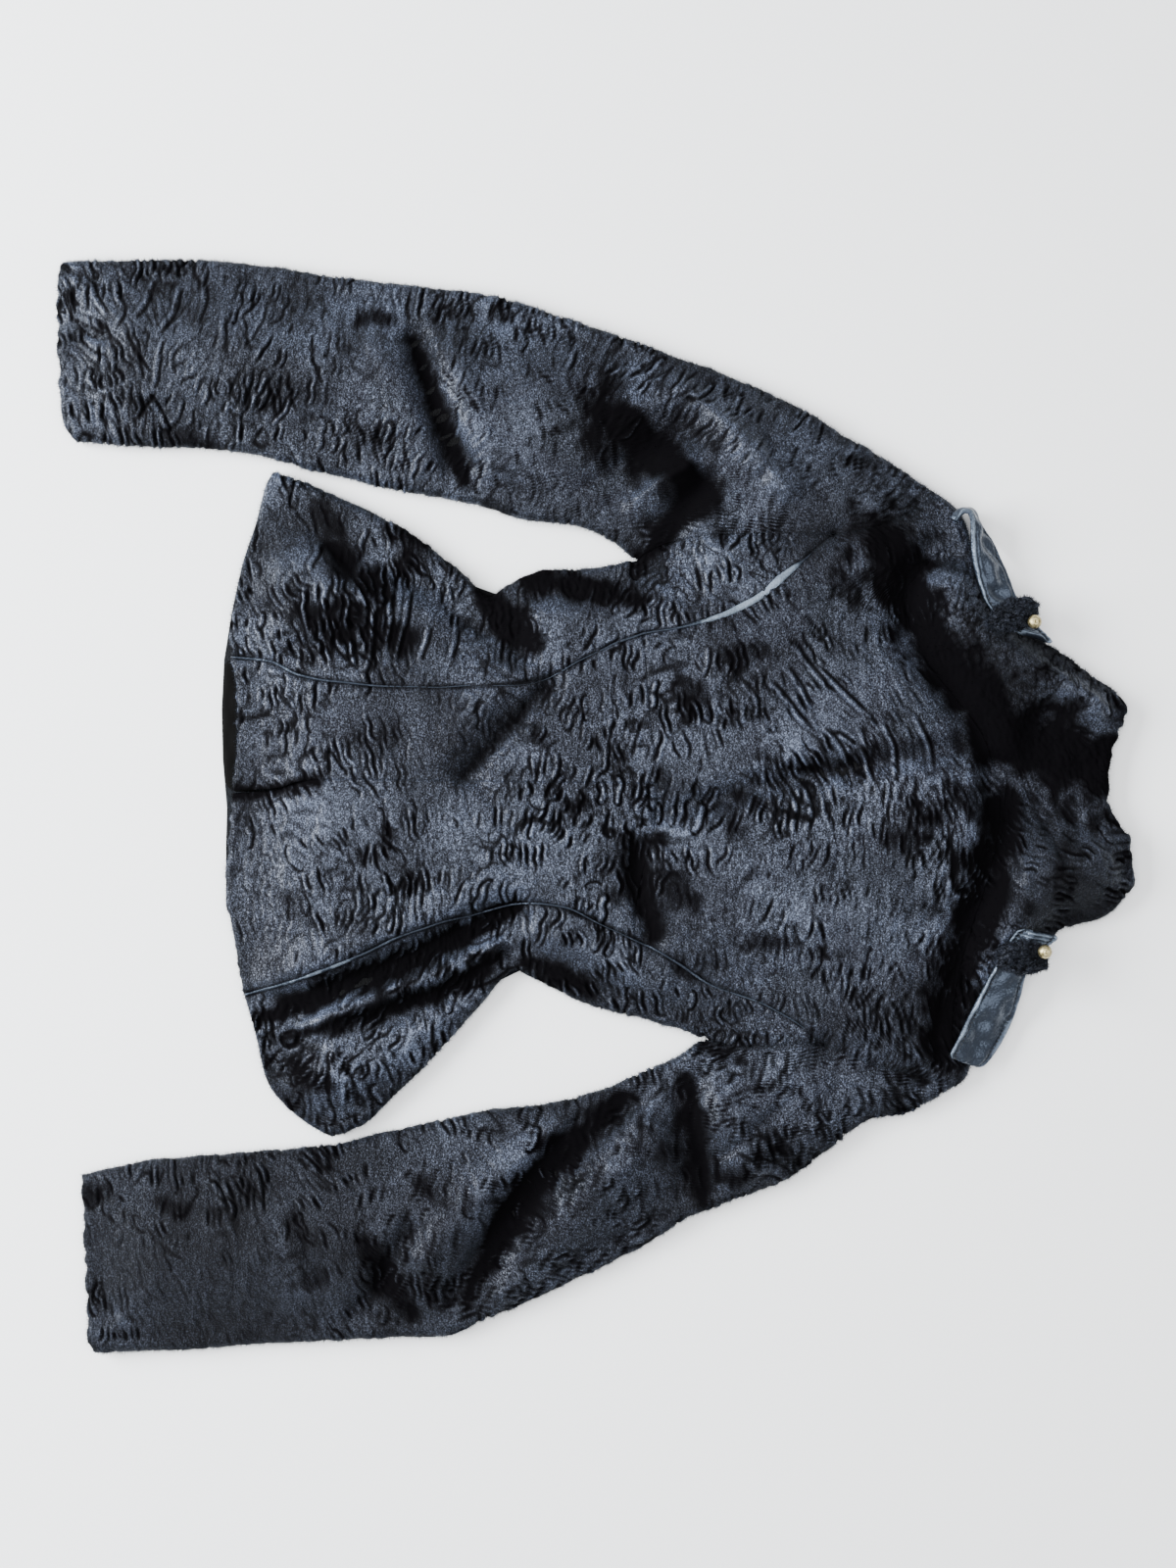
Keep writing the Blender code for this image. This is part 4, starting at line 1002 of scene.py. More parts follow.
def make_painted_shade_map():
    """Painted shade by how far each place lies below the cloth around it, with the painted shadows and
    the vent's painted shadow; and painted light by how far it stands above.
    """
    shape = tuple(int(cells * GRAIN / SHADE_MAP_CELL) for cells in MAP_CELLS)
    axes = [MAP_LOW[k] + SHADE_MAP_CELL * (np.arange(shape[k]) + 0.5) for k in (0, 1)]
    plan = np.stack(np.meshgrid(*axes, indexing="ij"), axis=-1).reshape(-1, 2)
    within = inside(plan)
    level = np.zeros(len(plan))
    level[within] = lie(plan[within])[0]
    level, weight = level.reshape(shape), within.astype(float).reshape(shape)
    around = softened(level, SHADE_MAP_CELL, 13, 13) / np.maximum(
        softened(weight, SHADE_MAP_CELL, 13, 13), 0.05)
    recess_shade = np.clip((around - level) / FULLY_SUNK, 0, 1) * weight
    painted_shadow = np.zeros(len(plan))
    rng = np.random.default_rng(17)
    rough = np.clip(1 + 0.30 * soft_patches(rng, shape, 5, 4, SHADE_MAP_CELL).ravel(), 0.5, 2)
    for start, middle, end, width, strength in PAINTED_SHADOWS:
        path = sampled(dense([start, middle, end]), np.linspace(0, 1, 9))
        away, pick, part = nearest(plan, path[:-1], path[1:])
        if width < WIDE_PLACE:
            width = width * (0.55 + 0.65 * np.sin(math.pi * (pick + part) / 8))
        painted_shadow = np.maximum(painted_shadow, strength * np.exp(-abs(rough * away / width) ** 3))
    for name, reach in VENT_SHADE.items():
        curve = CURVES[name]
        open_part = curve[curve[:, 1] < VENT_TOP + 8][::6]
        away = nearest(plan, open_part[:-1], open_part[1:])[0]
        painted_shadow = np.maximum(painted_shadow, bell(away, reach))
    # painted light where the cloth stands above the cloth around it
    raised = np.clip((level - around) / FULLY_SUNK, 0, 1) * weight
    return np.clip(0.5 * recess_shade + painted_shadow.reshape(shape), 0, 1), raised


# ---------------------------------------------------------------- meshes

def added(name, data):
    """A new object in the scene."""
    made = bpy.data.objects.new(name, data)
    bpy.context.scene.collection.objects.link(made)
    return made


def declare(piece, node=None):
    """Say which solid a piece replaces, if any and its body."""
    if node:
        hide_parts(node)
    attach(piece, "root")


def add_mesh(name, points, faces, marks, merge=0.0):
    """A mesh object from points in millimetres, faces of a few sizes and values at its points."""
    corners = np.concatenate([np.asarray(some, np.int32).ravel() for some in faces])
    counts = np.concatenate([np.full(len(some), len(some[0]), np.int32) for some in faces])
    mesh = bpy.data.meshes.new(name)
    mesh.vertices.add(len(points))
    mesh.vertices.foreach_set("co", np.ascontiguousarray(points * MM, np.float32).ravel())
    mesh.loops.add(len(corners))
    mesh.loops.foreach_set("vertex_index", corners)
    mesh.polygons.add(len(counts))
    mesh.polygons.foreach_set("loop_start", np.concatenate([[0], np.cumsum(counts)[:-1]]))
    mesh.update(calc_edges=True)
    for mark, values in marks.items():
        layer = mesh.attributes.new(mark, "FLOAT", "POINT")
        layer.data.foreach_set("value", np.ascontiguousarray(values, np.float32))
    if merge:
        build = bmesh.new()
        build.from_mesh(mesh)
        bmesh.ops.remove_doubles(build, verts=build.verts, dist=merge * MM)
        bmesh.ops.dissolve_degenerate(build, edges=build.edges, dist=merge * MM * 0.2)
        build.to_mesh(mesh)
        build.free()
    mesh.shade_smooth()
    return added(name, mesh)


def normals_of(points, looped=False):
    if looped:
        points = np.concatenate([points[:, -2:], points, points[:, :2]], axis=1)
    normals = np.cross(np.gradient(points, axis=1), np.gradient(points, axis=0))
    size = np.linalg.norm(normals, axis=2)[:, :, None]
    normals = np.where(size > 1e-9, normals / np.maximum(size, 1e-9), (0, 0, 1))
    return normals[:, 2:-2] if looped else normals


def quads(ids, looped=False):
    if looped:
        ids = np.concatenate([ids, ids[:, :1]], axis=1)
    return np.stack([ids[:-1, :-1], ids[:-1, 1:], ids[1:, 1:], ids[1:, :-1]], axis=-1).reshape(-1, 4)


def borders(ids):
    """The four edges of a grid of points, walked round in one turn."""
    return ids[0], ids[:, -1], ids[-1, ::-1], ids[::-1, 0]


def every(count, step):
    """Every so many numbers up to a count, the last one kept."""
    picks = list(range(0, count, step))
    if picks[-1] != count - 1:
        if count - 1 - picks[-1] < step / 2:
            picks.pop()
        picks.append(count - 1)
    return np.array(picks)


def zipped(outer, inner, marks):
    """Triangles between a fine outer edge and an inner edge that has only the marked points."""
    faces = []
    for p, q, a, b in zip(marks, marks[1:], inner, inner[1:]):
        middle = (p + q) // 2
        for j in range(p, q):
            faces.append((outer[j + 1], outer[j], a if j < middle else b))
        faces.append((outer[middle], a, b))
    return faces


def shell(name, base, skin, normals, thickness, marks, looped=False, merge=0.0):
    """A closed wall: a fine outer face, a plain inner face, and a rim between them."""
    rows, columns = every(base.shape[0], INNER_EVERY), every(base.shape[1], INNER_EVERY)
    inner = (base - normals * thickness)[rows][:, columns]
    outer_ids = np.arange(base.shape[0] * base.shape[1]).reshape(base.shape[:2])
    inner_ids = outer_ids.size + np.arange(inner.shape[0] * inner.shape[1]).reshape(inner.shape[:2])
    faces = [quads(outer_ids, looped), quads(inner_ids, looped)[:, ::-1]]
    if looped:
        for row, own in ((0, 1), (-1, -1)):
            outer = np.append(outer_ids[row], outer_ids[row, 0])
            close = np.append(inner_ids[row], inner_ids[row, 0])
            stops = np.append(columns, base.shape[1])
            rim = np.array(zipped(outer, close, stops))
            faces.append(rim if own == 1 else rim[:, ::-1])
    else:
        stops = (columns, rows, base.shape[1] - 1 - columns[::-1], base.shape[0] - 1 - rows[::-1])
        for edge in zip(borders(outer_ids), borders(inner_ids), stops):
            faces.append(np.array(zipped(*edge)))
    points = np.vstack([skin.reshape(-1, 3), inner.reshape(-1, 3)])
    blank = np.zeros(inner_ids.size)
    marks = {mark: np.concatenate([values.ravel(), blank]) for mark, values in marks.items()}
    return add_mesh(name, points, faces, marks, merge)


# ---------------------------------------------------------------- fur pieces

FRINGE_REACH = 7.0
SURFACE_FRINGE = 0.03       # how thick the fibres stand away from the edges, from 0 to 1
EDGE_CALM = (1.0, 0.75, 0.5, 0.25)
SEAM_OVERLAP = 0.3
EDGE_FRAY = 0.9
FRAY_FADE = 0.04            # share of an edge over which the fray dies out at its ends
UNDER_PILE = 0.7            # share of the pile's relief on the hidden fronts
UNDER_SINK = 0.3

# Corners of the collar, where the pile lies close
SHARP_CORNERS = ((-84, 401), (60, 410))
CORNER_REACH = 5

# Ends of the panels that are free edges
FREE_ENDS = {
    "back_centre_lower_left": 0,
    "back_centre_lower_right": 0,
    "back_side_left": 0,
    "back_side_right": 0,
    "sleeve_left": 0,
    "sleeve_right": 0,
    "collar_back": -1,
}


def edge_views(field, folded):
    """The four edges of a grid, each as rows from the edge inward, without the folded sides."""
    views = [field, field[::-1]]
    if "left" not in folded:
        views.append(field.swapaxes(0, 1))
    if "right" not in folded:
        views.append(field.swapaxes(0, 1)[::-1])
    return views


def calm_normals(normals, folded):
    """Stand the normals up along the seams, so that neighbouring panels meet."""
    for view in edge_views(normals, folded):
        for row, weight in enumerate(EDGE_CALM):
            flat = weight * np.clip((view[row][:, 2:] - 0.1) / 0.4, 0, 1)
            view[row] += flat * (np.array((0, 0, 1)) - view[row])
            view[row] /= np.linalg.norm(view[row], axis=1)[:, None]


def close_seams(skin, folded, node):
    """Let each panel's pile lap over its seams a little, and fray at a free edge."""
    outward = []
    for view in edge_views(skin, folded):
        way = view[0][:, :2] - view[2][:, :2]
        outward.append(way / np.maximum(np.linalg.norm(way, axis=1), 1e-6)[:, None])
    for view, way in zip(edge_views(skin, folded), outward):
        view[0][:, :2] += SEAM_OVERLAP * way
    if node in FREE_ENDS:
        view = edge_views(skin, folded)[0 if FREE_ENDS[node] == 0 else 1]
        way = outward[0 if FREE_ENDS[node] == 0 else 1]
        fray = EDGE_FRAY * np.clip(read(PILE.tufts, view[0][:, :2]), -1.2, 1.2)
        share = np.linspace(0, 1, len(fray))
        fray *= np.clip(np.minimum(share, 1 - share) / FRAY_FADE, 0, 1)
        for row, weight in enumerate(EDGE_CALM):
            view[row][:, :2] += weight * fray[:, None] * way


def upper_surface(grid, folded):
    """The upper cloth's face over a plan grid, plain and with its pile, and the marks on it."""
    plan = grid.reshape(-1, 2)
    height, reach = lie(plan)
    shape = grid.shape[:2]
    height, reach = height.reshape(shape), reach.reshape(shape)
    for side, column in (("left", 0), ("right", -1)):
        if side in folded:
            height[:, column] = SIDE_SEAM_LEVEL + SEAM_GAP / 2
            reach[:, column] = 0
    base = np.dstack([grid, height])
    pile = read(PILE.height, plan).reshape(shape)
    # painted shade of the sunk places and of the sunk ground
    hollow = np.maximum(read(PAINTED_SHADE_MAP, plan, SHADE_MAP_CELL), read(PILE.sunk_shade, plan))
    marks = {mark: read(getattr(PILE, mark), plan).reshape(shape)
             for mark in ("crevice", "lip", "shade")}
    marks["hollow"] = hollow.reshape(shape)
    marks["raised"] = read(PAINTED_LIGHT_ON_RISES, plan, SHADE_MAP_CELL).reshape(shape)
    marks["fringe"] = np.clip(1.15 - reach / FRINGE_REACH, SURFACE_FRINGE, 1)
    for corner in SHARP_CORNERS:
        away = np.linalg.norm(grid - np.array(corner), axis=2)
        pile *= 1 - bell(away, CORNER_REACH)
        marks["fringe"] *= 1 - bell(away, CORNER_REACH)
    return base, pile, marks


def lower_surface(grid, folded):
    """The lower cloth's face: flat, with a turned edge; its furrows only go in."""
    plan = grid.reshape(-1, 2)
    shape = grid.shape[:2]
    reach = nearest(plan, STARTS, ENDS)[0]
    height = np.maximum(SIDE_SEAM_LEVEL - SEAM_GAP / 2 - turned(plan, reach), 0).reshape(shape)
    for side, column in (("left", 0), ("right", -1)):
        if side in folded:
            height[:, column] = SIDE_SEAM_LEVEL - SEAM_GAP / 2
    base = np.dstack([grid, height])
    pile = np.minimum(read(PILE.height, plan) * UNDER_PILE - UNDER_SINK, 0).reshape(shape)
    marks = {mark: read(getattr(PILE, mark), plan).reshape(shape) for mark in ("crevice", "lip")}
    marks.update({mark: np.zeros(shape) for mark in ("hollow", "raised", "fringe")})
    marks["shade"] = np.ones(shape)
    return base, pile, marks


def fold_inward(normals, base, folded, columns=(0, -1)):
    """On a folded side the wall faces straight out."""
    for side, column, inward in zip(("left", "right"), columns, (4, -4)):
        if side in folded:
            normals[:, column, 2] = 0
            outward = base[:, column] - base[:, column + inward]
            normals[(normals[:, column] * outward).sum(axis=1) < 0, column] *= -1
            size = np.linalg.norm(normals[:, column], axis=1)[:, None]
            normals[:, column] /= np.maximum(size, 1e-9)


def finish_sheet(piece, node):
    declare(piece, node)


def vent_step(node, grid):
    """The vent's left edge lies a little over its right one."""
    away = nearest(grid.reshape(-1, 2), VENT_LINE[:-1], VENT_LINE[1:])[0].reshape(grid.shape[:2])
    if node == "back_centre_lower_left":
        return 1.6 * bell(away, 7)
    if node == "back_centre_lower_right":
        return -1.8 * bell(away, 5)
    return np.zeros(grid.shape[:2])


VENT_LINE = CURVES["centre_back"][CURVES["centre_back"][:, 1] < VENT_TOP - 4][::8]


def make_upper_panels():
    made = []
    for node, panel in UPPER_PANELS.items():
        grid = plan_of(panel, FUR_ALONG, FUR_ACROSS)
        base, pile, marks = upper_surface(grid, panel[-1])
        normals = normals_of(base)
        fold_inward(normals, base, panel[-1])
        calm_normals(normals, panel[-1])
        if not panel[2]:
            normals[-1] = (0, 0, 1)
        skin = base + normals * pile[..., None]
        skin[..., 2] += vent_step(node, grid)
        if panel[2]:
            close_seams(skin, panel[-1], node)
        piece = shell("fur_" + node, base, skin, normals, FUR_WALL, marks,
                      merge=0.0 if panel[2] else TIP_MERGE)
        made.append((piece, node))
    return made


def make_sleeves():
    made = []
    for node, panel in SLEEVES.items():
        grid = plan_of(panel, FUR_ALONG, FUR_ACROSS)
        over, over_pile, over_marks = upper_surface(grid, panel[-1])
        picks = every(grid.shape[1], UNDER_EVERY)[1:-1][::-1]
        under, under_pile, under_marks = lower_surface(grid[:, picks], "")
        over[:, [0, -1], 2] = SIDE_SEAM_LEVEL
        base = np.concatenate([over, under], axis=1)
        pile = np.concatenate([over_pile, under_pile], axis=1)
        marks = {mark: np.concatenate([over_marks[mark], under_marks[mark]], axis=1)
                 for mark in over_marks}
        normals = normals_of(base, looped=True)
        fold_inward(normals, base, panel[-1], (0, over.shape[1] - 1))
        calm_normals(normals, "left right")
        skin = base + normals * pile[..., None]
        close_seams(skin, "left right", node)
        skin[..., 2] = np.maximum(skin[..., 2], 0)
        made.append((shell("fur_" + node, base, skin, normals, FUR_WALL, marks, looped=True), node))
    return made


def make_lower_panels():
    made = []
    for node, panel in LOWER_PANELS.items():
        grid = plan_of(panel, UNDER_STEP, UNDER_STEP)[:, ::-1]
        base, pile, marks = lower_surface(grid, " ".join(
            {"left": "right", "right": "left"}[side] for side in panel[-1].split()))
        normals = normals_of(base)
        normals = np.where(normals[..., 2:] > 0, -normals, normals)
        skin = base + normals * pile[..., None]
        made.append((shell("fur_" + node, base, skin, normals, FUR_WALL, marks), node))
    return made


# ---------------------------------------------------------------- trims

def look_down(objects):
    """A function that gives the highest point of some pieces near a place in plan."""
    trees = []
    for thing in objects:
        mesh = thing.data
        faces = [tuple(face.vertices) for face in mesh.polygons]
        trees.append(BVHTree.FromPolygons([vert.co for vert in mesh.vertices], faces))

    def height(x, y, around=0.0):
        best = 0.0
        shifts = (-around, 0, around) if around else (0,)
        for dx in shifts:
            for dy in shifts:
                start = Vector(((x + dx) * MM, (y + dy) * MM, 1))
                for tree in trees:
                    hit = tree.ray_cast(start, Vector((0, 0, -1)))[0]
                    if hit:
                        best = max(best, hit.z / MM)
        return best

    return height


def strap_grid(side, height):
    """The strap's upper face as its solid has it, stations along it by points across."""
    rows = sampled(dense(STRAPS[side]), np.linspace(0, 1, STRAP_STATIONS))
    share = np.linspace(0, 1, STRAP_ACROSS)[None, :, None]
    points = (1 - share) * rows[:, None, :3] + share * rows[:, None, 3:]
    fur = np.array([[height(x, y, STRAP_LOOK) for x, y, _ in row] for row in points])
    short = np.where(fur > 0, fur + SEAM_GAP + STRAP_THICKNESS - points[..., 2], 0).max(axis=1)
    raised = np.pad(np.clip(short, 0, None), 2, mode="edge")
    widest = np.maximum(np.maximum(raised[:-2], raised[1:-1]), raised[2:])
    points[..., 2] += ((widest[:-2] + widest[1:-1] + widest[2:]) / 3)[:, None]
    if normals_of(points)[STRAP_STATIONS // 2, STRAP_ACROSS // 2, 2] < 0:
        points = points[:, ::-1]
    return points


def refined(grid, rows, columns):
    """A coarse grid of points made finer along smooth curves."""
    steps = np.linspace(0, 1, rows)
    grid = np.stack([sampled(dense(grid[:, k]), steps) for k in range(grid.shape[1])], axis=1)
    steps = np.linspace(0, 1, columns)
    return np.stack([sampled(dense(row), steps) for row in grid])


STITCH_INSET = 0.76         # where the stitch lines run, from the middle (0) to the edge (1)
STRAP_ROWS = 181
STRAP_COLUMNS = 41
TAB_LAYERS = (0.925, 0.955, 0.985)


def make_straps(height):
    made = []
    for side in ("left", "right"):
        base = refined(strap_grid(side, height), STRAP_ROWS, STRAP_COLUMNS)
        across = np.linspace(-1, 1, STRAP_COLUMNS)[None]
        along = np.linspace(0, 1, STRAP_ROWS)[:, None]
        middle = base.mean(axis=1, keepdims=True)
        round_end = 1 - 0.24 * np.clip((abs(2 * along - 1) - 0.93) / 0.07, 0, 1) ** 2
        base = middle + (base - middle) * round_end[..., None]
        normals = normals_of(base)
        rng = np.random.default_rng(5 if side == "left" else 8)
        dents = soft_patches(rng, (STRAP_ROWS, STRAP_COLUMNS), 7, 5)
        puckers = soft_patches(rng, (STRAP_ROWS, STRAP_COLUMNS), 2.2, 3)
        form = 0.8 * (1 - across ** 2) + 1.6 * dents * (1 - across ** 4)
        form -= 0.9 * bell(abs(across) - STITCH_INSET, 0.08)
        form += 0.45 * bell(abs(across) - 0.9, 0.07)
        form += 0.16 * puckers * bell(abs(across) - 0.8, 0.25)
        form -= 1.1 * np.clip((abs(across) - 0.94) / 0.06, 0, 1) ** 2
        layers = sum(bell(along - place, 0.008) for place in TAB_LAYERS)
        form += 0.8 * layers
        form -= 0.8 * np.clip((abs(2 * along - 1) - 0.975) / 0.025, 0, 1) ** 2
        # painted highlight along the rolled edges and on the tab's layers
        worn = np.clip(0.8 * bell(abs(across) - 0.93, 0.05) + 0.7 * layers, 0, 1)
        piece = shell("leather_strap_" + side, base, base + normals * form[..., None], normals,
                      STRAP_THICKNESS, {"worn": worn})
        made.append((piece, side, base, normals))
    return made


KEEPER_GRID = 57


def make_keepers(straps, height_collar):
    made = []
    grid = KEEPER_GRID
    for side, (middle, reach, half_width) in KEEPERS.items():
        middle, reach = np.array(middle, float), np.array(reach, float)
        sideways = np.array([reach[1], -reach[0]]) / np.linalg.norm(reach) * half_width
        strap = next(piece for piece, own, _, _ in straps if own == side)
        over_strap = look_down([strap])
        steps = np.linspace(-1, 1, grid)
        along, across = np.meshgrid(steps, steps, indexing="ij")
        rng = np.random.default_rng(21 if side == "left" else 22)
        swell = 1.04 + 0.05 * soft_patches(rng, (grid, grid), 3.0, 3.0)
        length = (along * np.sqrt(1 - 0.30 * across ** 2) * swell)[..., None]
        taper = (across * np.sqrt(1 - 0.52 * along ** 2) * swell)[..., None]
        plan = middle + length * reach + taper * sideways
        coarse = plan[::4, ::4]
        level = np.array([[max(over_strap(x, y, 3.0), height_collar(x, y, 3.0)) for x, y in row]
                          for row in coarse])
        level = np.maximum(level, level.max() - KEEPER_DROP) + SEAM_GAP
        level = refined(np.dstack([coarse, level]), grid, grid)[..., 2]
        plump = np.sqrt(np.clip(1 - along ** 2, 0, 1) * np.clip(1 - across ** 2, 0, 1))
        curls = soft_patches(rng, (grid, grid), 1.9, 1.9)
        curls = 2.4 * np.minimum(abs(curls), 1.1) - 1.4
        high = KEEPER_RIM + (KEEPER_THICKNESS + 0.75 * curls) * plump
        top = np.dstack([plan, level + high])
        bottom = np.dstack([plan, level])
        if np.cross(top[0, 1] - top[0, 0], top[1, 0] - top[0, 0])[2] > 0:
            top, bottom = top[:, ::-1], bottom[:, ::-1]
            curls = curls[:, ::-1]
        top_ids = np.arange(grid * grid).reshape(grid, grid)
        low_ids = top_ids + grid * grid
        faces = [quads(top_ids)[:, ::-1], quads(low_ids)]
        for upper, lower in zip(borders(top_ids), borders(low_ids)):
            faces.append(np.stack([upper[:-1], upper[1:], lower[1:], lower[:-1]], axis=-1))
        flat = np.zeros(grid * grid)
        # painted shade in the curls' hollows and over the whole keeper, painted highlights on the curls
        # and on its top
        marks = {
            "crevice": np.concatenate([np.clip(-curls.ravel() * 0.8 - 0.1, 0, 1), flat]),
            "lip": np.concatenate([np.clip(curls.ravel() * 0.3 - 0.1, 0, 1), flat]),
            "hollow": np.concatenate([flat, flat]),
            "shade": np.concatenate([flat + 0.62, flat + 0.62]),
            "raised": np.concatenate([flat + 0.2, flat]),
            "fringe": np.concatenate([flat + 1, flat]),
        }
        points = np.vstack([top.reshape(-1, 3), bottom.reshape(-1, 3)])
        made.append((add_mesh("fur_keeper_" + side, points, faces, marks), side))
    return made


# Ring turned in a stud's crown: radius, depth below the top
STUD_RING = ((0, 0.35), (0.7, 0.35), (0.9, 0.05), (1.3, 0.12), (1.5, 0.5), (1.8, 0.5))
STUD_ARC_POINTS = 14
STUD_TURNS = 40


def make_studs():
    """Brass balls on short necks, turned from their profile, where the solids are."""
    made = []
    for side, (x, y) in STUD_PLACES.items():
        low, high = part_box("stud_" + side)
        base, crown = low[2] / MM, high[2] / MM
        ball = crown - STUD_RADIUS
        start = math.asin(STUD_NECK_RADIUS / STUD_RADIUS)
        profile = [(radius, crown - depth) for radius, depth in STUD_RING]
        for angle in np.linspace(0.4, math.pi - start, STUD_ARC_POINTS):
            profile.append((STUD_RADIUS * math.sin(angle), ball + STUD_RADIUS * math.cos(angle)))
        foot = STUD_NECK_RADIUS * 1.25
        profile += [(STUD_NECK_RADIUS * 0.86, base + STUD_NECK_HEIGHT * 0.7), (foot, base + 0.5),
                    (foot, base), (0, base)]
        build = bmesh.new()
        verts = [build.verts.new((r * MM, 0, z * MM)) for r, z in profile]
        edges = [build.edges.new(pair) for pair in zip(verts, verts[1:])]
        bmesh.ops.spin(build, geom=verts + edges, cent=(0, 0, 0), axis=(0, 0, 1),
                       angle=2 * math.pi, steps=STUD_TURNS, use_merge=True)
        bmesh.ops.remove_doubles(build, verts=build.verts, dist=0.00001)
        bmesh.ops.recalc_face_normals(build, faces=build.faces)
        bmesh.ops.translate(build, vec=(x * MM, y * MM, 0), verts=build.verts)
        mesh = bpy.data.meshes.new("brass_stud_" + side)
        build.to_mesh(mesh)
        build.free()
        mesh.shade_smooth()
        made.append((added("brass_stud_" + side, mesh), side))
    return made


# Where the piping stands out of the pile: share along the princess seam, half width
PIPING_WIDTHS = {
    "left": ((0, 0.8), (0.05, 1.0), (0.12, 1.1), (0.24, 0.8), (0.3, 0.5), (0.5, 0.45), (0.6, 0.6),
             (0.66, 1.0), (0.72, 0.8), (0.78, 1.6), (0.84, 2.6), (0.93, 2.9), (0.97, 1.9), (1, 0.3)),
    "right": ((0, 1.0), (0.05, 1.3), (0.2, 1.1), (0.35, 0.8), (0.5, 0.7), (0.62, 0.5), (0.72, 0.8),
              (0.8, 1.1), (0.9, 1.0), (0.97, 0.8), (1, 0.3)),
}
PIPING_END = {"left": 0.952, "right": 0.965}
PIPING_SINK = 0.35
PIPING_SIDES = 10
PIPING_RINGS = 300


def make_piping():
    """A leather welt in each princess seam, wide and narrow as it rises out of the pile."""
    made = []
    for side in ("left", "right"):
        path = walked(["princess_lower_" + side, "princess_upper_" + side])
        steps = np.linspace(0, PIPING_END[side], PIPING_RINGS)
        plan = sampled(path, steps)
        rng = np.random.default_rng(31 if side == "left" else 32)
        wobble = softened(rng.standard_normal((PIPING_RINGS, 4)), 1.5, 9, 0)[:, 0]
        along = np.gradient(plan, axis=0)
        along /= np.linalg.norm(along, axis=1)[:, None]
        across = np.column_stack([-along[:, 1], along[:, 0]])
        plan = plan + across * (0.5 * wobble / wobble.std())[:, None]
        level = lie(plan)[0]
        level = softened(np.repeat(level[:, None], 4, 1), 1.5, 3, 0)[:, 0]
        level[:6], level[-6:] = lie(plan)[0][:6], lie(plan)[0][-6:]
        shares, widths = np.array(PIPING_WIDTHS[side]).T
        half = np.interp(steps / PIPING_END[side], shares, widths)
        half = half * (1 + 0.14 * wobble / wobble.std())
        tall = np.minimum(half, PIPING_RADIUS) * 0.8
        turns = np.linspace(0, 2 * math.pi, PIPING_SIDES, endpoint=False)
        rings = np.zeros((PIPING_RINGS, PIPING_SIDES, 3))
        rings[..., :2] = plan[:, None] + across[:, None] * (
            half[:, None] * np.cos(turns))[..., None]
        twists = soft_patches(rng, (PIPING_RINGS, PIPING_SIDES), 2.0, 1.0)
        tall = tall[:, None] * (1 + 0.2 * twists)
        sink = PIPING_SINK + 0.7 * np.clip((1.0 - half) / 0.5, 0, 1)
        rings[..., 2] = (level - sink)[:, None] + tall * np.sin(turns)
        rings = rings[:, ::-1]
        ids = np.arange(PIPING_RINGS * PIPING_SIDES).reshape(PIPING_RINGS, PIPING_SIDES)
        points = rings.reshape(-1, 3)
        centres = np.vstack([rings[0].mean(0), rings[-1].mean(0)])
        start, end = len(points), len(points) + 1
        around = np.roll(ids, -1, axis=1)
        caps = [np.stack([around[0], ids[0], np.full(PIPING_SIDES, start)], axis=-1),
                np.stack([ids[-1], around[-1], np.full(PIPING_SIDES, end)], axis=-1)]
        faces = [quads(ids, looped=True)] + caps
        # painted highlight where the welt is wide
        highlight_share = np.repeat(np.clip((half - 1.1) / 1.0, 0, 1), PIPING_SIDES)
        marks = {"worn": np.append(highlight_share, (0, 0))}
        piece = add_mesh("leather_piping_" + side, np.vstack([points, centres]), faces, marks)
        face_outward(piece.data)
        made.append((piece, side))
    return made


def face_outward(mesh):
    build = bmesh.new()
    build.from_mesh(mesh)
    bmesh.ops.recalc_face_normals(build, faces=build.faces)
    build.to_mesh(mesh)
    build.free()


def make_facing():
    """The strip of hem facing on the front's inner face, below the back hem."""
    x_from, x_to = FACING_REACH
    across = np.linspace(0, 1, 60)
    hem = CURVES["hem_front_left"]
    x = x_from + (x_to - x_from) * across
    low = np.interp(x, hem[:, 0], hem[:, 1]) + 0.8
    low += 7 * np.clip((abs(2 * across - 1) - 0.88) / 0.12, 0, 1) ** 2
    along = np.linspace(0, 1, 18)[:, None]
    grid = np.dstack([np.repeat(x[None], 18, 0), low[None] * (1 - along) + FACING_TOP * along])
    level = FUR_WALL + SEAM_GAP + FACING_THICKNESS
    wave = 0.25 * np.sin(grid[..., 0] * 0.21) * np.cos(grid[..., 1] * 0.5)
    wave -= 0.9 * np.clip(1 - along / 0.12, 0, 1) ** 2
    base = np.dstack([grid, np.full(grid.shape[:2], level)])
    normals = normals_of(base)
    skin = base + normals * wave[..., None]
    return shell("hem_facing_left", base, skin, normals, FACING_THICKNESS, {"worn": 0 * wave})


# ---------------------------------------------------------------- fibres and stitches

class Graph:
    """A tree of nodes, and one way to add a node to it."""

    def __init__(self, tree):
        self.tree = tree

    def feed(self, socket, value):
        if isinstance(value, Value):
            value = value.socket
        if isinstance(value, bpy.types.NodeSocket):
            self.tree.links.new(value, socket)
        else:
            socket.default_value = value

    def add(self, kind, settings=None, feeds=None):
        made = self.tree.nodes.new(kind)
        for name, value in (settings or {}).items():
            setattr(made, name, value)
        for name, value in (feeds or {}).items():
            self.feed(made.inputs[name], value)
        return made


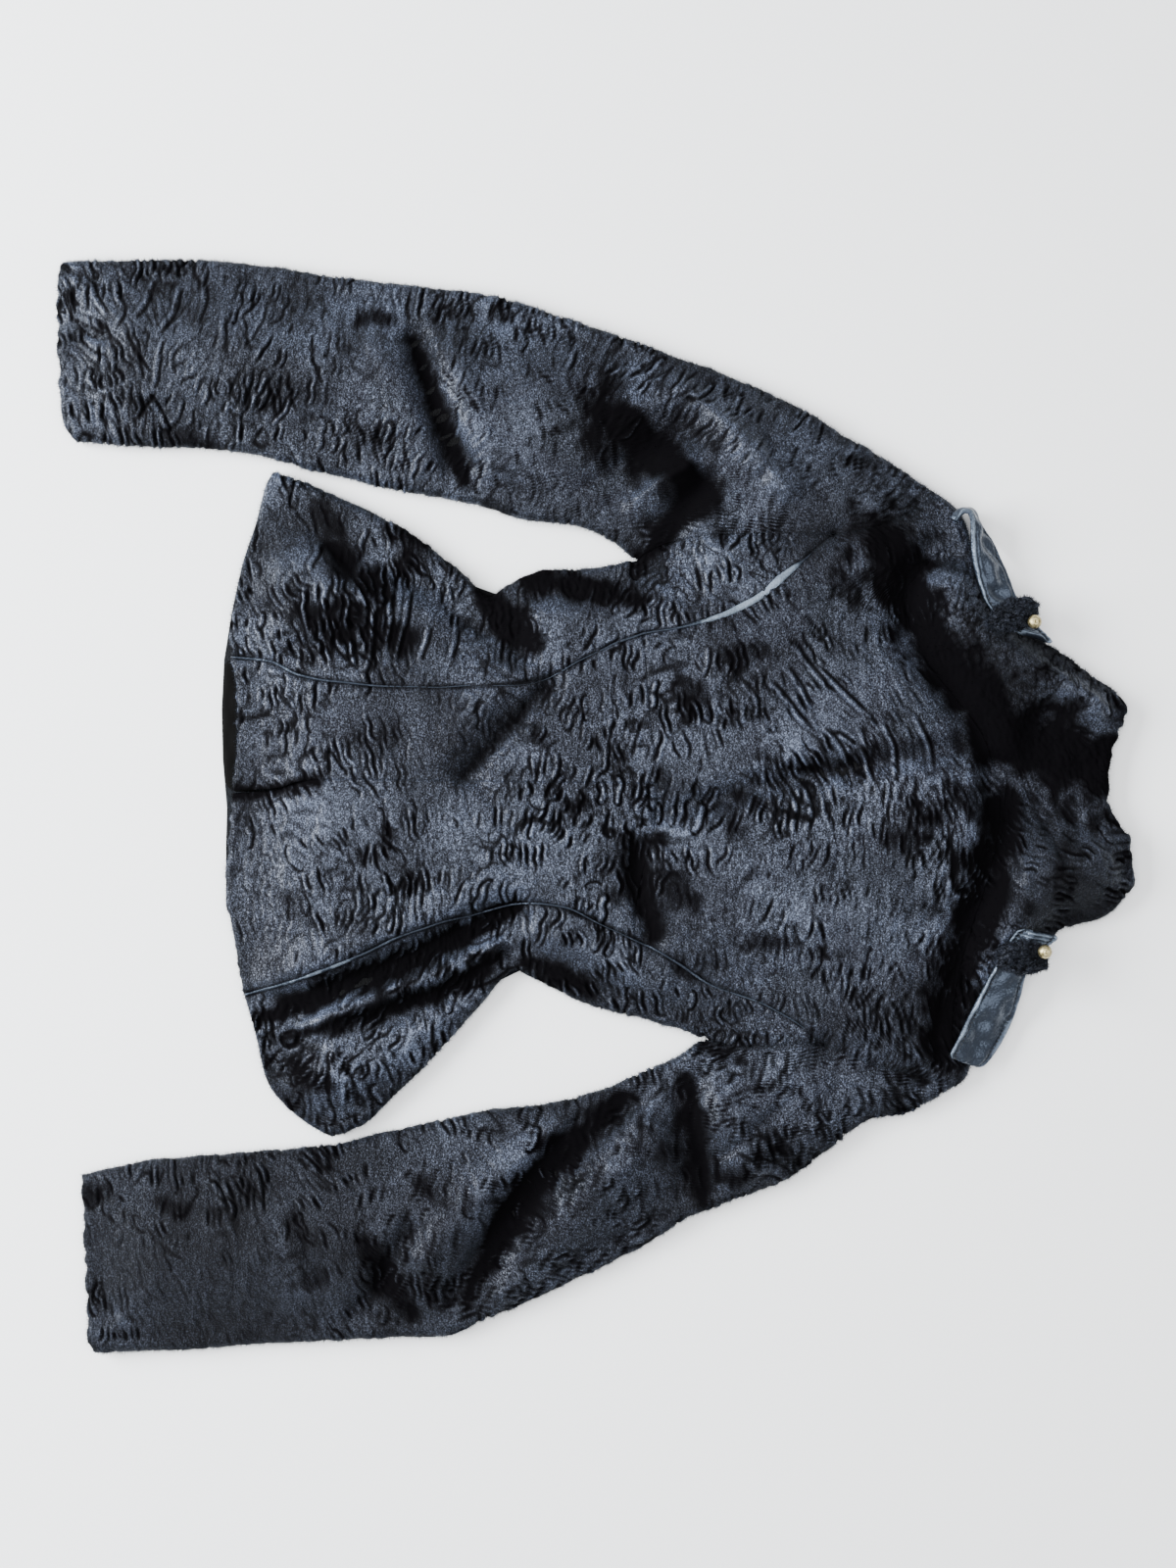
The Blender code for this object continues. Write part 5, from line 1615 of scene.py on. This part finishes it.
class Shape(Graph):
    """A Geometry Nodes tree with its inputs."""

    def __init__(self, name, inputs):
        super().__init__(bpy.data.node_groups.new(name, "GeometryNodeTree"))
        self.tree.interface.new_socket("Geometry", in_out="INPUT", socket_type="NodeSocketGeometry")
        for label, kind in inputs.items():
            self.tree.interface.new_socket(label, in_out="INPUT", socket_type="NodeSocket" + kind)
        self.tree.interface.new_socket("Geometry", in_out="OUTPUT", socket_type="NodeSocketGeometry")
        self.start = self.tree.nodes.new("NodeGroupInput")

    def node(self, kind, settings=None, feeds=None, output=0):
        return self.add(kind, settings, feeds).outputs[output]

    def given(self, label):
        return self.start.outputs[label]

    def math(self, operation, first, second):
        return self.node("ShaderNodeMath", {"operation": operation}, {0: first, 1: second})

    def turned(self, axis, way):
        return self.node("FunctionNodeAlignRotationToVector", {"axis": axis}, {"Vector": way})

    def size(self, x, y, z):
        return self.node("ShaderNodeCombineXYZ", {}, {0: self.given(x), 1: self.given(y), 2: z})

    def place(self, points, shape, rotation, size):
        """Put a shape on each point, as real mesh in the given finish, and end the tree."""
        placed = self.node("GeometryNodeInstanceOnPoints", {}, {
            "Points": points, "Instance": shape, "Rotation": rotation, "Scale": size})
        real = self.node("GeometryNodeRealizeInstances", {}, {"Geometry": placed})
        done = self.node("GeometryNodeSetMaterial", {}, {
            "Geometry": real, "Material": self.given("Finish")})
        end = self.tree.nodes.new("NodeGroupOutput")
        self.tree.links.new(done, end.inputs[0])
        return self.tree


def fibre_tree():
    """Fibres that stand and lean over a piece, closest where its fringe mark is high."""
    tree = Shape("pile_fibres", {"Density": "Float", "Length": "Float", "Thickness": "Float",
                                 "Lean": "Float", "Seed": "Int", "Finish": "Material"})
    fringe = tree.node("GeometryNodeInputNamedAttribute", {"data_type": "FLOAT"},
                       {"Name": "fringe"}, "Attribute")
    density = tree.math("MULTIPLY", tree.given("Density"), fringe)
    spread = tree.add("GeometryNodeDistributePointsOnFaces", {}, {
        "Mesh": tree.given("Geometry"), "Density": density, "Seed": tree.given("Seed")}).outputs
    lean = tree.node("FunctionNodeRandomValue", {"data_type": "FLOAT_VECTOR"}, {
        0: (-1, -1.5, -0.6), 1: (1, 0.6, 0.6), "Seed": 3})
    leant = tree.node("ShaderNodeVectorMath", {"operation": "SCALE"}, {
        0: lean, "Scale": tree.given("Lean")})
    way = tree.node("ShaderNodeVectorMath", {"operation": "ADD"}, {0: leant, 1: spread["Normal"]})
    share = tree.node("FunctionNodeRandomValue", {"data_type": "FLOAT"}, {
        2: 0.45, 3: 1.0, "Seed": 5}, 1)
    tall = tree.math("MULTIPLY", share, tree.given("Length"))
    spike = tree.node("GeometryNodeMeshCone", {"fill_type": "NGON"}, {
        "Vertices": 3, "Radius Top": 0.0, "Radius Bottom": 1.0, "Depth": 1.0}, "Mesh")
    return tree.place(spread["Points"], spike, tree.turned("Z", way),
                      tree.size("Thickness", "Thickness", tall))


def stitch_tree():
    """Stitches laid along a line of points."""
    tree = Shape("stitches", {"Pitch": "Float", "Length": "Float", "Thickness": "Float",
                              "Finish": "Material"})
    line = tree.node("GeometryNodeMeshToCurve", {}, {"Mesh": tree.given("Geometry")})
    beads = tree.node("GeometryNodeResampleCurve", {"mode": "LENGTH"}, {
        "Curve": line, "Length": tree.given("Pitch")})
    bead = tree.node("GeometryNodeMeshIcoSphere", {}, {"Radius": 0.5, "Subdivisions": 2}, "Mesh")
    way = tree.node("GeometryNodeInputTangent")
    return tree.place(beads, bead, tree.turned("X", way),
                      tree.size("Length", "Thickness", tree.given("Thickness")))


def grown(host, tree, name, values):
    """What a node tree grows on a mesh object, above the floor, as a plain mesh of its own."""
    modifier = host.modifiers.new("grown", "NODES")
    modifier.node_group = tree
    for item in tree.interface.items_tree:
        if item.in_out == "INPUT" and item.name in values:
            modifier[item.identifier] = values[item.name]
    evaluated = host.evaluated_get(bpy.context.evaluated_depsgraph_get())
    mesh = bpy.data.meshes.new_from_object(evaluated)
    host.modifiers.remove(modifier)
    points = np.empty(3 * len(mesh.vertices), np.float32)
    mesh.vertices.foreach_get("co", points)
    points[2::3] = np.maximum(points[2::3], 0)
    mesh.vertices.foreach_set("co", points)
    mesh.update()
    mesh.name = name
    return added(name, mesh)


# ---------------------------------------------------------------- materials

class Value:
    """A value in a material, which takes part in plain arithmetic."""

    def __init__(self, finish, socket):
        self.finish = finish
        self.socket = socket

    def sum_of(self, operation, first, second):
        return self.finish.node("ShaderNodeMath", {"operation": operation}, {0: first, 1: second})

    def __add__(self, other):
        return self.sum_of("ADD", self, other)

    def __sub__(self, other):
        return self.sum_of("SUBTRACT", self, other)

    def __mul__(self, other):
        return self.sum_of("MULTIPLY", self, other)

    def __rsub__(self, other):
        return self.sum_of("SUBTRACT", other, self)

    __radd__ = __add__
    __rmul__ = __mul__

    def between(self, low, high):
        """0 at low, 1 at high, and straight between."""
        return self.finish.node("ShaderNodeMapRange", {"clamp": True}, {
            "Value": self, "From Min": low, "From Max": high})


class Finish(Graph):
    """A material in the making."""

    def __init__(self, name, **fixed):
        self.material = bpy.data.materials.new(name)
        self.material.use_nodes = True
        super().__init__(self.material.node_tree)
        self.shader = self.tree.nodes["Principled BSDF"]
        for socket, value in fixed.items():
            self.shader.inputs[socket.replace("_", " ")].default_value = value

    def node(self, kind, settings=None, feeds=None, output=0):
        return Value(self, self.add(kind, settings, feeds).outputs[output])

    def place(self, scale=(1, 1, 1), turn=0.0):
        """Object coordinates, stretched and turned."""
        here = self.node("ShaderNodeTexCoord", output="Object")
        return self.node("ShaderNodeMapping", {}, {
            "Vector": here, "Scale": scale, "Rotation": (0, 0, turn)})

    def noise(self, place, scale, detail=2.0, roughness=0.5):
        return self.node("ShaderNodeTexNoise", {}, {
            "Vector": place, "Scale": scale, "Detail": detail, "Roughness": roughness})

    def mark(self, name):
        return self.node("ShaderNodeAttribute", {"attribute_name": name}, output="Fac")

    def colours(self, tone, stops):
        """The colour for a tone, between the stops."""
        made = self.add("ShaderNodeValToRGB", {}, {"Fac": tone})
        elements = made.color_ramp.elements
        while len(elements) < len(stops):
            elements.new(0.5)
        for element, (place, colour) in zip(elements, stops):
            element.position = place
            element.color = (*colour, 1)
        return Value(self, made.outputs[0])

    def shade(self, **feeds):
        for socket, value in feeds.items():
            self.feed(self.shader.inputs[socket.replace("_", " ")], value)

    def paint_black_shade(self, share):
        """Mix in a black as painted shadow, by a share that varies over the piece."""
        black = self.tree.nodes.new("ShaderNodeBsdfPrincipled")
        black.inputs["Base Color"].default_value = (0.0012, 0.0010, 0.0014, 1)
        black.inputs["Roughness"].default_value = 0.9
        black.inputs["Specular IOR Level"].default_value = 0.03
        mix = self.tree.nodes.new("ShaderNodeMixShader")
        self.feed(mix.inputs[0], share)
        self.tree.links.new(self.shader.outputs[0], mix.inputs[1])
        self.tree.links.new(black.outputs[0], mix.inputs[2])
        self.tree.links.new(mix.outputs[0], self.tree.nodes["Material Output"].inputs[0])

    def bump(self, height, distance, strength=1.0):
        self.shade(Normal=self.node("ShaderNodeBump", {}, {
            "Height": height, "Distance": distance, "Strength": strength}))


FUR_COLOURS = (
    (0.0, (0.0006, 0.0005, 0.0008)), (0.22, (0.0045, 0.0048, 0.0070)),
    (0.55, (0.0225, 0.0265, 0.040)), (1.0, (0.120, 0.140, 0.200)))


def fur_finish(name, glow):
    """Curly pile: painted highlights on its ridges and rises, painted sheen and glints, painted shade
    in its furrows, and painted black shadow in its hollows.
    """
    finish = Finish(name, Sheen_Weight=0.05, Sheen_Roughness=0.35, Sheen_Tint=(0.66, 0.80, 1, 1),
                    Specular_IOR_Level=0.10, Coat_Roughness=0.42, Coat_IOR=1.55,
                    Coat_Tint=(0.80, 0.90, 1, 1))
    here = finish.place()
    speckle_and_glints = finish.noise(here, 820, 2.0, 0.7)
    streaks = finish.noise(finish.place((1.0, 2.2, 1.0)), 330, 3.0, 0.65)
    sheen_patches = finish.noise(here, 16, 2.0, 0.5)
    lip = finish.mark("lip")
    crevice = finish.mark("crevice")
    hollow = finish.mark("hollow") * (1 - 0.72 * lip)
    # painted sheen in soft patches, painted glints from the speckle, painted highlights on ridges and
    # rises
    light = 0.26 * sheen_patches.between(0.3, 0.75) + 0.34 * streaks.between(0.3, 0.72)
    light = light + 0.86 * speckle_and_glints.between(0.45, 0.80) + 0.30 * lip
    light = light + 0.12 * finish.mark("raised") + glow
    # painted light and shade by place, painted shade in furrows and hollows
    tone = light * finish.mark("shade") * (1 - 0.97 * crevice) * (1 - 0.92 * hollow)
    finish.shade(Base_Color=finish.colours(tone, FUR_COLOURS), Roughness=0.68 - 0.26 * tone,
                 Coat_Weight=0.75 * tone.between(0.25, 1.1))
    finish.bump(0.9 * speckle_and_glints + 0.9 * streaks, 0.0016, 1.0)
    # painted black shadow in hollows and furrows
    finish.paint_black_shade((hollow + 0.7 * crevice).between(0.18, 0.85))
    return finish.material


def leather_finish(name, reflective, gloss_and_highlight_range):
    """Dark leather with patches of satin gloss that also carry a painted highlight in their colour, and
    painted highlights where its highlight mark is high.
    """
    finish = Finish(name, IOR=reflective, Specular_Tint=(0.62, 0.76, 1, 1))
    here = finish.place()
    pebbles = finish.node("ShaderNodeTexVoronoi", {"feature": "SMOOTH_F1"}, {
        "Vector": here, "Scale": 560.0, "Smoothness": 0.4})
    creases = finish.noise(here, 240, 3.0, 0.6)
    gloss_and_highlight = finish.noise(here, 85, 1.0, 0.5).between(*gloss_and_highlight_range)
    # painted highlight from the mark and from the gloss patches
    tone = 0.06 + 0.10 * creases + 0.14 * pebbles.between(0.7, 0.1) + 0.62 * finish.mark("worn")
    colour = finish.colours(tone + 0.30 * gloss_and_highlight, (
        (0.0, (0.002, 0.002, 0.003)), (0.4, (0.008, 0.010, 0.014)), (1.0, (0.14, 0.17, 0.21))))
    finish.shade(Base_Color=colour, Roughness=0.40 - 0.17 * gloss_and_highlight + 0.08 * creases)
    finish.bump(0.8 * (1 - pebbles) + 0.6 * creases, 0.0005, 0.8)
    return finish.material


def lining_finish():
    finish = Finish("facing_cloth", Specular_IOR_Level=0.04)
    weave = finish.noise(finish.place((1, 6, 1)), 700, 1.0)
    folds = finish.noise(finish.place(), 60, 2.0)
    colour = finish.colours(0.5 * weave + 0.5 * folds, (
        (0.2, (0.0008, 0.0008, 0.0008)), (0.8, (0.0035, 0.0032, 0.0030))))
    finish.shade(Base_Color=colour, Roughness=0.65 + 0.2 * folds)
    finish.bump(weave, 0.0003, 0.5)
    return finish.material


def brass_finish():
    finish = Finish("aged_brass", Metallic=1.0)
    tarnish = finish.noise(finish.place(), 420, 4.0, 0.6)
    marks = finish.noise(finish.place((1, 1, 3)), 1500, 2.0, 0.6)
    colour = finish.colours(tarnish, (
        (0.3, (0.11, 0.08, 0.03)), (0.5, (0.40, 0.34, 0.18)), (0.8, (0.66, 0.58, 0.37))))
    finish.shade(Base_Color=colour, Roughness=0.25 + 0.35 * tarnish)
    finish.bump(marks, 0.0001, 0.5)
    return finish.material


def thread_finish():
    finish = Finish("black_thread", Specular_IOR_Level=0.3)
    twist = finish.noise(finish.place(), 2500, 1.0)
    finish.shade(Base_Color=finish.colours(twist, (
        (0.2, (0.002, 0.002, 0.003)), (0.8, (0.010, 0.011, 0.014)))), Roughness=0.6)
    return finish.material


# ---------------------------------------------------------------- putting it together

FUR_FIBRES = {"Density": 520000.0, "Length": 0.0030, "Thickness": 0.00018, "Lean": 0.7, "Seed": 4}
KEEPER_FIBRES = {**FUR_FIBRES, "Density": 1300000.0, "Length": 0.0032}


def dress():
    fur = fur_finish("curly_fur", 0.0)
    fibre = fur_finish("fur_fibres", 0.05)
    leather = leather_finish("pebbled_leather", 1.62, (0.34, 0.72))
    welt = leather_finish("piping_leather", 1.45, (0.50, 0.64))
    fibres = fibre_tree()
    uppers = make_upper_panels() + make_sleeves()
    for piece, node in uppers + make_lower_panels():
        piece.data.materials.append(fur)
    collar_solid = bpy.data.objects["collar_back"]
    back_solid = bpy.data.objects["back_centre_upper"]
    straps = make_straps(look_down([back_solid, collar_solid]))
    keepers = make_keepers(straps, look_down([collar_solid]))
    for piece, node in uppers:
        declare(grown(piece, fibres, "fibres_" + node, {**FUR_FIBRES, "Finish": fibre}))
    for piece, side in keepers:
        piece.data.materials.append(fur)
        tuft = grown(piece, fibres, "fibres_keeper_" + side, {**KEEPER_FIBRES, "Finish": fibre})
        declare(tuft)
        declare(piece, "keeper_" + side)
    for piece in [thing for thing in bpy.data.objects if thing.name.startswith("fur_")]:
        node = piece.name[4:]
        if node in SHEETS:
            finish_sheet(piece, node)
    dress_straps(straps, leather)
    for piece, side in make_piping():
        piece.data.materials.append(welt)
        declare(piece, "piping_" + side)
    brass = brass_finish()
    for piece, side in make_studs():
        piece.data.materials.append(brass)
        declare(piece, "stud_" + side)
    facing = make_facing()
    facing.data.materials.append(lining_finish())
    declare(facing, "front_facing_left")


def dress_straps(straps, leather):
    thread = thread_finish()
    tree = stitch_tree()
    for piece, side, base, normals in straps:
        piece.data.materials.append(leather)
        declare(piece, "strap_" + side)
        lines, edges = [], []
        half = STRAP_COLUMNS // 2
        for column in (round((1 - STITCH_INSET) * half), round((1 + STITCH_INSET) * half)):
            row = base[2:-2, column] + normals[2:-2, column] * 0.05
            edges += [(len(lines) + k, len(lines) + k + 1) for k in range(len(row) - 1)]
            lines += list(row)
        mesh = bpy.data.meshes.new("stitch_line_" + side)
        mesh.from_pydata([tuple(point * MM) for point in lines], edges, [])
        guide = added("stitch_line_" + side, mesh)
        seams = grown(guide, tree, "stitches_" + side, {
            "Pitch": 0.0030, "Length": 0.0022, "Thickness": 0.0008, "Finish": thread})
        bpy.data.objects.remove(guide)
        seams.data.shade_smooth()
        declare(seams)
        0.112 if side == "left" else 0.128


# ---------------------------------------------------------------- floor, light, camera

FRAME_TALL = 1.2            # metres of plan in the photo's height
CAMERA_HEIGHT = 1.8
FLOOR_HALF = 4.0
PHOTO_CENTRE = (-0.01875, -0.0075)


def make_stage():
    mesh = bpy.data.meshes.new("floor")
    corners = [(-FLOOR_HALF, -FLOOR_HALF, 0), (FLOOR_HALF, -FLOOR_HALF, 0),
               (FLOOR_HALF, FLOOR_HALF, 0), (-FLOOR_HALF, FLOOR_HALF, 0)]
    mesh.from_pydata(corners, [], [(0, 1, 2, 3)])
    floor = added("floor", mesh)
    paper = Finish("pale_floor", Roughness=0.9)
    grain = paper.noise(paper.place(), 30, 2.0)
    paper.shade(Base_Color=paper.colours(grain, (
        (0.0, (0.97, 0.97, 0.97)), (1.0, (0.98, 0.98, 0.98)))))
    mesh.materials.append(paper.material)


def add_light(name, place, target, size, power, colour):
    light = bpy.data.lights.new(name, "AREA")
    light.shape = "RECTANGLE"
    light.size, light.size_y = size
    light.energy = power
    light.color = colour
    made = added(name, light)
    made.location = place
    made.rotation_euler = (Vector(target) - Vector(place)).to_track_quat("-Z", "Y").to_euler()


def make_lights():
    add_light("window", (-0.35, -2.1, 1.2), (0, 0, 0), (2.0, 1.2), 225, (0.93, 0.97, 1.0))
    add_light("sky", (0.0, 0.0, 2.4), (0, 0, 0), (2.6, 2.6), 86, (0.96, 0.98, 1.0))
    world = bpy.data.worlds.new("room")
    world.use_nodes = True
    world.node_tree.nodes["Background"].inputs["Color"].default_value = (0.95, 0.97, 1.0, 1)
    world.node_tree.nodes["Background"].inputs["Strength"].default_value = 0.74
    bpy.context.scene.world = world


def make_camera():
    lens = bpy.data.cameras.new("camera")
    lens.sensor_fit = "VERTICAL"
    lens.sensor_height = 24.0
    level = SIDE_SEAM_LEVEL * MM
    lens.lens = lens.sensor_height * (CAMERA_HEIGHT - level) / FRAME_TALL
    camera = added("camera", lens)
    camera.location = (*PHOTO_CENTRE, CAMERA_HEIGHT)
    camera.rotation_euler = (0, 0, math.pi / 2)
    bpy.context.scene.camera = camera


make_camera()
make_stage()
make_lights()
PILE = make_pile_map()
PAINTED_SHADE_MAP, PAINTED_LIGHT_ON_RISES = make_painted_shade_map()
dress()
